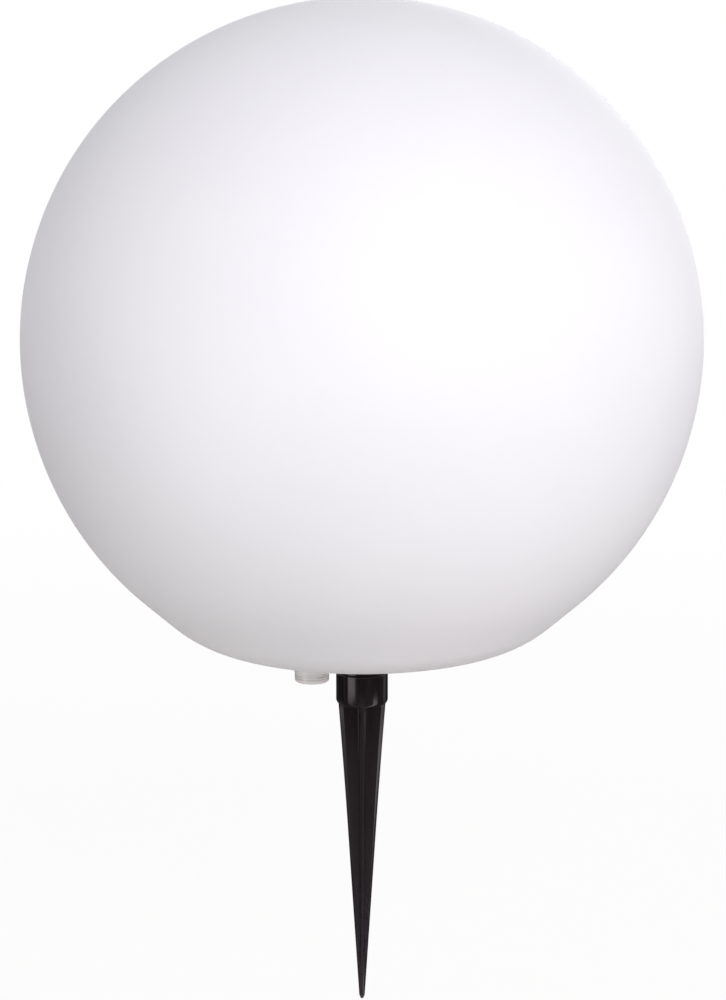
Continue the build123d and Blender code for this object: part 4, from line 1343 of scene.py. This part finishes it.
@dataclass
class PushSwitch(Assembly):
    """White cap beside the boss and the switch above it, in millimetres.

    Attributes:
        spring_wire: radius of the return spring's wire.
        spring_radius: radius that the wire is wound on.
        spring_turns: number of turns.
        steps_per_turn: steps in one turn.
        wire_segments: steps round the wire.
        press_travel: how far the cap is pressed in; not used.
        sharp_deg: an edge that turns by more than this stays sharp.
    """

    spring_wire: float = 0.25
    spring_radius: float = 3.2
    spring_turns: int = 5
    steps_per_turn: int = 32
    wire_segments: int = 12
    press_travel: float = 1.5
    sharp_deg: float = 60.0

    def build(self) -> None:
        """Dress the switch."""
        # The cap's finish has painted shade in its grooves.
        cap = GrooveShadedPlastic(
            "moulded_white_abs_cap",
            Stock.WHITE_ABS.value.shader,
            dark="#E2DFE0",
            light="#EBE8E9",
            grain_mm=0.5,
            grain_depth_mm=0.008,
            smooth=0.26,
            rough=0.36,
            low_mm=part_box("switch_cap")[0].z / MM,
        )
        self.dress(cap, "switch_cap")
        self.dress(Stock.BLACK_NYLON, "switch_plunger", "switch_barrel", "switch_nut", "switch_block")
        self.dress(Stock.RUBBER, "switch_seal")
        self.dress(Stock.BRASS, "switch_terminals")
        spring = self.spring()
        self.place(spring, Stock.STEEL, "light_unit", "steel", "switch_spring")
        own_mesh(spring)

    def spring(self) -> Object:
        """Return spring, which the plunger's shoulder pushes up against the contact block.

        Returns:
            The coil.
        """
        low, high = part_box("switch_spring")
        middle = (low + high) / 2 / MM
        start = low.z / MM + self.spring_wire
        rise = (high.z - low.z) / MM - 2 * self.spring_wire
        steps = self.spring_turns * self.steps_per_turn
        wire = arc((0, 0), self.spring_wire, 0, 360, self.wire_segments)[:-1]
        rings = []
        for step in range(steps + 1):
            turn = 2 * math.pi * step / self.steps_per_turn
            out = Vector((math.cos(turn), math.sin(turn), 0))
            centre = Vector((middle.x, middle.y, start + rise * step / steps)) + out * self.spring_radius
            rings.append([centre + out * across + Vector((0, 0, up)) for across, up in wire])
        return mesh_object("return_spring", *skin(rings, closed=False), self.sharp_deg)


@dataclass
class ChargingSocket(Assembly):
    """Charging socket in its pocket, behind a hinged door."""

    def build(self) -> None:
        """Dress the socket and its door."""
        self.dress(Stock.WHITE_ABS, "charge_door")
        self.dress(Stock.RUBBER, "door_pad", "charge_seal")
        self.dress(Stock.STEEL, "door_pin", "charge_nut")
        self.dress(Stock.BLACK_NYLON, "charge_socket")
        self.dress(Stock.BRASS, "charge_pin", "charge_terminals")


@dataclass
class LightUnit(Assembly):
    """Sealed can with the light board under a clear dome, in millimetres.

    Attributes:
        chip_lens_height: height of the round lens on a light chip.
        chip_margin: how far above the chip's body the phosphor's colour starts.
    """

    chip_lens_height: float = 0.5
    chip_margin: float = 0.02

    def build(self) -> None:
        """Dress the can, the light board and the dome."""
        self.dress(Stock.WHITE_ABS, "unit_housing", "lens_ring")
        self.dress(Stock.RUBBER, "housing_seal", "lens_seal")
        self.dress(Stock.STEEL, "lens_screws", "light_board_screws")
        self.dress(Stock.ALUMINIUM, "heat_spreader")
        self.dress(Stock.LIGHT_BOARD, "light_board")
        self.dress(Stock.LENS, "lens_dome")
        chip_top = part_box("light_chips")[1].z / MM - self.chip_lens_height
        chip = TwoZone(
            "phosphor_light_chip",
            {"IOR": 1.5, "Coat Weight": 0.3},
            dark="#E8E8E2",
            light="#F2F2EC",
            other="#E9C84A",
            grain_mm=0.4,
            cloud_mm=2.0,
            smooth=0.2,
            rough=0.35,
            level_mm=chip_top + self.chip_margin,
        )
        self.dress(chip, "light_chips")


@dataclass
class Electronics(Assembly):
    """Control board, battery and leads inside the can.

    Attributes:
        lead_red: colour of the red lead in each pair.
        switch_lead_rise: how much the red switch lead stands above the black one, as a slope.
    """

    lead_red: str = "#A02018"
    switch_lead_rise: float = 0.196

    def build(self) -> None:
        """Dress everything inside the can."""
        self.dress(Stock.BOARD, "control_board")
        self.dress(Stock.STEEL, "board_screws", "tray_screws", "clamp_screws", "cell_tabs")
        self.dress(Stock.CONNECTOR, "board_connectors")
        self.dress(Stock.COMPONENT, "board_parts")
        self.dress(Stock.BLACK_NYLON, "battery_tray", "battery_clamps")
        self.dress(Stock.CELL, "battery_cells")
        # Each pair of leads, with the direction from its black lead to its red one.
        for node, normal in (
            ("light_leads", (1.0, 0.0, 0.0)),
            ("battery_leads", (0.0, 1.0, 0.0)),
            ("charge_leads", (1.0, 0.0, 0.0)),
            ("switch_leads", (1.0, 0.0, self.switch_lead_rise)),
        ):
            self.dress(self.lead_finish(node, normal), node)

    def lead_finish(self, node: str, normal: tuple[float, float, float]) -> TwoZone:
        """PVC sleeve of a pair of leads: one black, one red.

        Args:
            node: the pair's node.
            normal: direction from the black lead to the red one.

        Returns:
            The finish, with the plane between the two leads.
        """
        low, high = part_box(node)
        middle = (low + high) / 2 / MM
        return TwoZone(
            f"extruded_pvc_{node}",
            {"IOR": 1.53},
            dark="#161616",
            light="#222222",
            other=self.lead_red,
            grain_mm=0.5,
            grain_depth_mm=0.01,
            cloud_mm=4.0,
            smooth=0.35,
            rough=0.48,
            normal=normal,
            level_mm=middle.dot(Vector(normal)),
        )


# ---------------------------------------------------------------- studio


@dataclass
class Viewpoint:
    """Where the photograph was taken from, found from the ball's outline in it.

    Attributes:
        photo_size: the photograph's width and height, in pixels.
        ball_px: the ball's centre in it, in pixels.
        ball_radius_px: the ball's radius in it, in pixels.
        distance_in_radii: the camera's distance from the ball's centre, in radii of the ball.
        elevation_deg: the camera's height above that centre, as an angle.
        sensor_mm: longer side of the camera's sensor.
    """

    photo_size: tuple[int, int] = (726, 1000)
    ball_px: tuple[float, float] = (362.0, 341.6)
    ball_radius_px: float = 341.9
    distance_in_radii: float = 8.0
    elevation_deg: float = 7.0
    sensor_mm: float = 36.0

    def build(self, centre: Vector, radius: float) -> None:
        """Make the camera that shows the ball where the photograph does.

        Args:
            centre: the ball's centre.
            radius: its radius.
        """
        width, height = self.photo_size
        focal_px = self.ball_radius_px * math.sqrt(self.distance_in_radii**2 - 1)
        elevation = math.radians(self.elevation_deg)
        distance = self.distance_in_radii * radius
        pitch = elevation + math.atan((height / 2 - self.ball_px[1]) / focal_px)
        lens = bpy.data.cameras.new("camera")
        lens.sensor_width = self.sensor_mm
        lens.lens = self.sensor_mm * focal_px / height
        lens.shift_x = (width / 2 - self.ball_px[0]) / height
        camera = bpy.data.objects.new("camera", lens)
        camera.location = centre + distance * Vector((0, -math.cos(elevation), math.sin(elevation)))
        camera.rotation_euler = (math.pi / 2 - pitch, 0, 0)
        bpy.context.scene.collection.objects.link(camera)
        bpy.context.scene.camera = camera


@dataclass(frozen=True)
class Softbox:
    """A square soft lamp that faces the ball's centre.

    Attributes:
        name: the lamp's name.
        azimuth_deg: 0 is the camera's side and 90 is to its right.
        elevation_deg: height above the ball's centre, as an angle.
        level: light that a white surface facing it would give back, where 1 is white.
        distance: from the ball's centre, in metres.
        size: side of the lamp, in metres.
    """

    name: str
    azimuth_deg: float
    elevation_deg: float
    level: float
    distance: float = 1.8
    size: float = 0.9

    def build(self, aim: Vector) -> None:
        """Make the lamp.

        Args:
            aim: point that it faces.
        """
        light = bpy.data.lights.new(self.name, "AREA")
        light.shape = "SQUARE"
        light.size = self.size
        # The power that lights a white surface at that distance to the level.
        light.energy = self.level * math.pi**2 * self.distance**2
        lamp = bpy.data.objects.new(self.name, light)
        azimuth = math.radians(self.azimuth_deg)
        elevation = math.radians(self.elevation_deg)
        flat = math.cos(elevation)
        away = Vector((math.sin(azimuth) * flat, -math.cos(azimuth) * flat, math.sin(elevation)))
        lamp.location = aim + away * self.distance
        lamp.rotation_euler = away.to_track_quat("Z", "Y").to_euler()
        bpy.context.scene.collection.objects.link(lamp)


@dataclass(frozen=True)
class PaintedReflectionSheet:
    """Dark cloth on the floor with bright strips on it, seen in glossy reflections and nowhere else.

    A black gloss shows only what it mirrors: the cloth keeps it black, and the strips draw its edges.

    Attributes:
        name: the sheet's name.
        inner_radius: its inner edge, in metres.
        outer_radius: its outer edge, in metres.
        glow: azimuth in degrees, where 0 is the camera's side and 90 is to its right, and brightness there.
        height: how far it lies above the floor, in metres.
        segments: how many steps its round edge has.
        brightest: brightness that its colours are shares of.
        front: where the camera's side lies in a turn of the radial gradient.
        tint: faint colour of the painted reflections.
    """

    name: str
    inner_radius: float
    outer_radius: float
    glow: tuple[tuple[float, float], ...]
    height: float = 0.0006
    segments: int = 96
    brightest: float = 2.5
    front: float = 0.25
    tint: str = "#FFF3F9"

    def build(self, floor_z: float) -> None:
        """Make the sheet of painted reflections.

        Args:
            floor_z: height of the floor that it lies on.
        """
        rings = []
        for radius in (self.inner_radius, self.outer_radius):
            circle = arc((0, 0), radius, 0, 360, self.segments)[:-1]
            rings.append([Vector((x, y, self.height)) for x, y in circle])
        points, faces = skin(rings, closed=False)
        mesh = bpy.data.meshes.new(self.name)
        mesh.from_pydata(points, [], faces[:-2])
        mesh.materials.append(self.painted_reflection())
        reflection_sheet = bpy.data.objects.new(self.name, mesh)
        reflection_sheet.location.z = floor_z
        # Only glossy rays see the sheet, so its glow paints reflections and lights nothing else.
        for ray in ("camera", "diffuse", "transmission", "volume_scatter", "shadow"):
            setattr(reflection_sheet, f"visible_{ray}", False)
        bpy.context.scene.collection.objects.link(reflection_sheet)

    def painted_reflection(self) -> Material:
        """Emission of painted reflections, whose brightness changes round the object.

        Returns:
            The sheet's material.
        """
        material = bpy.data.materials.new(f"{self.name}_dye")
        material.use_nodes = True
        tree = material.node_tree
        tree.nodes.clear()
        place = add_node(tree, "ShaderNodeTexCoord").outputs["Object"]
        turn = add_node(tree, "ShaderNodeTexGradient", {"gradient_type": "RADIAL"}, {"Vector": place})
        red, green, blue, _ = linear(self.tint)
        stops = []
        for azimuth, brightness in self.glow:
            share = brightness / self.brightest
            stops.append((azimuth / 360 + self.front, (red * share, green * share, blue * share, 1.0)))
        glow = add_node(tree, "ShaderNodeValToRGB", links={"Fac": turn.outputs["Fac"]}, stops=stops)
        light = {"Color": glow.outputs["Color"]}
        shine = add_node(tree, "ShaderNodeEmission", {"Strength": self.brightest}, light)
        add_node(tree, "ShaderNodeOutputMaterial", links={"Surface": shine.outputs[0]})
        return material


@dataclass
class Studio:
    """Pale floor, white surroundings and soft lamps.

    Attributes:
        floor_half: half the floor's side, in metres.
        floor_dark: the floor's darkest colour, which lights the ball from below.
        floor_light: its lightest colour.
        speckles_per_metre: how finely the two are mixed.
        white_share: how much of its light near the object is plain white.
        near_radius: where that share starts to grow, in metres.
        far_radius: where the floor is all white, in metres.
        ambient: how strongly the white surroundings light the object.
        reflection_sheets: the sheets of painted reflections that the black plastic mirrors.
        lamps: the lamps.
    """

    floor_half: float = 12.0
    floor_dark: str = "#DBD9D4"
    floor_light: str = "#E0DEDA"
    speckles_per_metre: float = 60.0
    white_share: float = 0.94
    near_radius: float = 0.35
    far_radius: float = 1.4
    ambient: float = 0.473
    reflection_sheets: tuple[PaintedReflectionSheet, ...] = (
        # The blades, which lean a little downward, mirror the floor close by.
        PaintedReflectionSheet(
            "near_reflection_sheet",
            0.003,
            0.42,
            (
                (-90.0, 0.08),
                (-68.0, 0.10),
                (-60.0, 0.60),
                (-44.0, 0.60),
                (-38.0, 0.15),
                (-8.0, 0.34),
                (8.0, 0.40),
                (26.0, 0.20),
                (50.0, 0.30),
                (54.0, 2.30),
                (70.0, 2.30),
                (76.0, 0.10),
                (126.0, 0.08),
                (136.0, 0.10),
                (230.0, 0.16),
                (250.0, 0.22),
                (262.0, 0.08),
            ),
        ),
        # The upright collar mirrors the floor further out.
        PaintedReflectionSheet(
            "far_reflection_sheet",
            0.42,
            2.2,
            (
                (-90.0, 0.06),
                (-88.0, 0.34),
                (-84.0, 0.34),
                (-82.0, 0.06),
                (-66.0, 0.06),
                (-63.0, 2.40),
                (-33.0, 2.10),
                (-29.0, 0.06),
                (10.0, 0.12),
                (30.0, 0.20),
                (50.0, 0.08),
                (110.0, 0.10),
                (113.0, 0.50),
                (125.0, 0.50),
                (128.0, 0.05),
                (180.0, 0.04),
                (240.0, 0.05),
            ),
        ),
    )
    lamps: tuple[Softbox, ...] = (
        Softbox("key", 22, 25, 0.50),
        Softbox("side", 90, 5, 0.105),
        Softbox("fill", -36, -2, 0.155),
        Softbox("back", 168, 8, 0.25),
    )

    def build(self, aim: Vector, floor_z: float) -> None:
        """Make the studio.

        Args:
            aim: point that the lamps face.
            floor_z: height of the floor.
        """
        for lamp in self.lamps:
            lamp.build(aim)
        self.world()
        # Sheets that paint the reflections on the black plastic.
        for reflection_sheet in self.reflection_sheets:
            reflection_sheet.build(floor_z)
        square = [(-1, -1), (1, -1), (1, 1), (-1, 1)]
        mesh = bpy.data.meshes.new("floor")
        points = [(x * self.floor_half, y * self.floor_half, floor_z) for x, y in square]
        mesh.from_pydata(points, [], [(0, 1, 2, 3)])
        mesh.materials.append(self.floor_paint())
        floor = bpy.data.objects.new("floor", mesh)
        bpy.context.scene.collection.objects.link(floor)

    def shown_rays(self, tree: Tree) -> Socket:
        """Rays that show the background: straight to the camera, or through gloss and glass.

        Args:
            tree: node tree that gets the nodes.

        Returns:
            1 for such a ray, and 0 for others.
        """
        rays = add_node(tree, "ShaderNodeLightPath").outputs
        mirrored = {0: rays["Is Camera Ray"], 1: rays["Is Glossy Ray"]}
        either = add_node(tree, "ShaderNodeMath", {"operation": "MAXIMUM"}, mirrored).outputs[0]
        every = {0: either, 1: rays["Is Transmission Ray"]}
        return add_node(tree, "ShaderNodeMath", {"operation": "MAXIMUM"}, every).outputs[0]

    def world(self) -> None:
        """White surroundings that light the object more softly than they look."""
        world = bpy.data.worlds.new("studio_world")
        bpy.context.scene.world = world
        world.use_nodes = True
        tree = world.node_tree
        tree.nodes.clear()
        rays = {"Value": self.shown_rays(tree)}
        strength = add_node(tree, "ShaderNodeMapRange", {"To Min": self.ambient, "To Max": 1.0}, rays)
        light = {"Strength": strength.outputs["Result"]}
        background = add_node(tree, "ShaderNodeBackground", {"Color": linear("#FFFFFF")}, light)
        add_node(tree, "ShaderNodeOutputWorld", links={"Surface": background.outputs[0]})

    def floor_paint(self) -> Material:
        """Pale floor that fades to plain white away from the object, and is clear from below.

        Returns:
            The floor's material.
        """
        material = bpy.data.materials.new("floor_paint")
        material.use_nodes = True
        tree = material.node_tree
        tree.nodes.clear()
        place = add_node(tree, "ShaderNodeTexCoord").outputs["Object"]
        level = {"operation": "MULTIPLY", 1: (1, 1, 0)}
        flat = add_node(tree, "ShaderNodeVectorMath", level, {0: place}).outputs[0]
        reach = add_node(tree, "ShaderNodeVectorMath", {"operation": "LENGTH"}, {0: flat}).outputs["Value"]
        fade = {"From Min": self.near_radius, "From Max": self.far_radius, "To Min": self.white_share}
        share = add_node(tree, "ShaderNodeMapRange", fade, {"Value": reach}).outputs["Result"]
        seen = {0: share, 1: self.shown_rays(tree)}
        shown = add_node(tree, "ShaderNodeMath", {"operation": "MULTIPLY"}, seen).outputs[0]
        speckles = {"Scale": self.speckles_per_metre}
        speckle = add_node(tree, "ShaderNodeTexNoise", speckles, {"Vector": place}).outputs["Fac"]
        stops = [(CLOUD_LOW, self.floor_dark), (CLOUD_HIGH, self.floor_light)]
        colour = add_node(tree, "ShaderNodeValToRGB", links={"Fac": speckle}, stops=stops).outputs["Color"]
        paint = add_node(tree, "ShaderNodeBsdfDiffuse", links={"Color": colour}).outputs[0]
        white = add_node(tree, "ShaderNodeEmission", {"Strength": 1.0}).outputs[0]
        lit = add_node(tree, "ShaderNodeMixShader", links={0: shown, 1: paint, 2: white}).outputs[0]
        clear = add_node(tree, "ShaderNodeBsdfTransparent").outputs[0]
        below = add_node(tree, "ShaderNodeNewGeometry").outputs["Backfacing"]
        both = add_node(tree, "ShaderNodeMixShader", links={0: below, 1: lit, 2: clear}).outputs[0]
        add_node(tree, "ShaderNodeOutputMaterial", links={"Surface": both})
        return material


# ---------------------------------------------------------------- the whole light


def corners(bounds: Iterable[Vector]) -> list[list[float]]:
    """A box's two corners as plain numbers."""
    return [[float(value) for value in corner] for corner in bounds]


def main() -> None:
    """Dress the light piece by piece, then set the studio and the camera."""
    logging.basicConfig(level=logging.INFO, format="%(name)s %(message)s")
    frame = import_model()
    finishes: dict[str, Material] = {}
    kinds: tuple[type[Assembly], ...] = (
        Globe,
        GroundSpike,
        SpikeBoss,
        BasePlate,
        PushSwitch,
        ChargingSocket,
        LightUnit,
        Electronics,
    )
    for kind in kinds:
        kind(frame, finishes).build()
    low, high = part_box("globe_shell")
    radius = (high.x - low.x) / 2
    centre = Vector((0, 0, high.z - radius))
    Viewpoint().build(centre, radius)
    Studio().build(centre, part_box("ground_spike")[0].z)
    bpy.context.scene.view_settings.view_transform = "Standard"


if __name__ == "__main__":
    main()
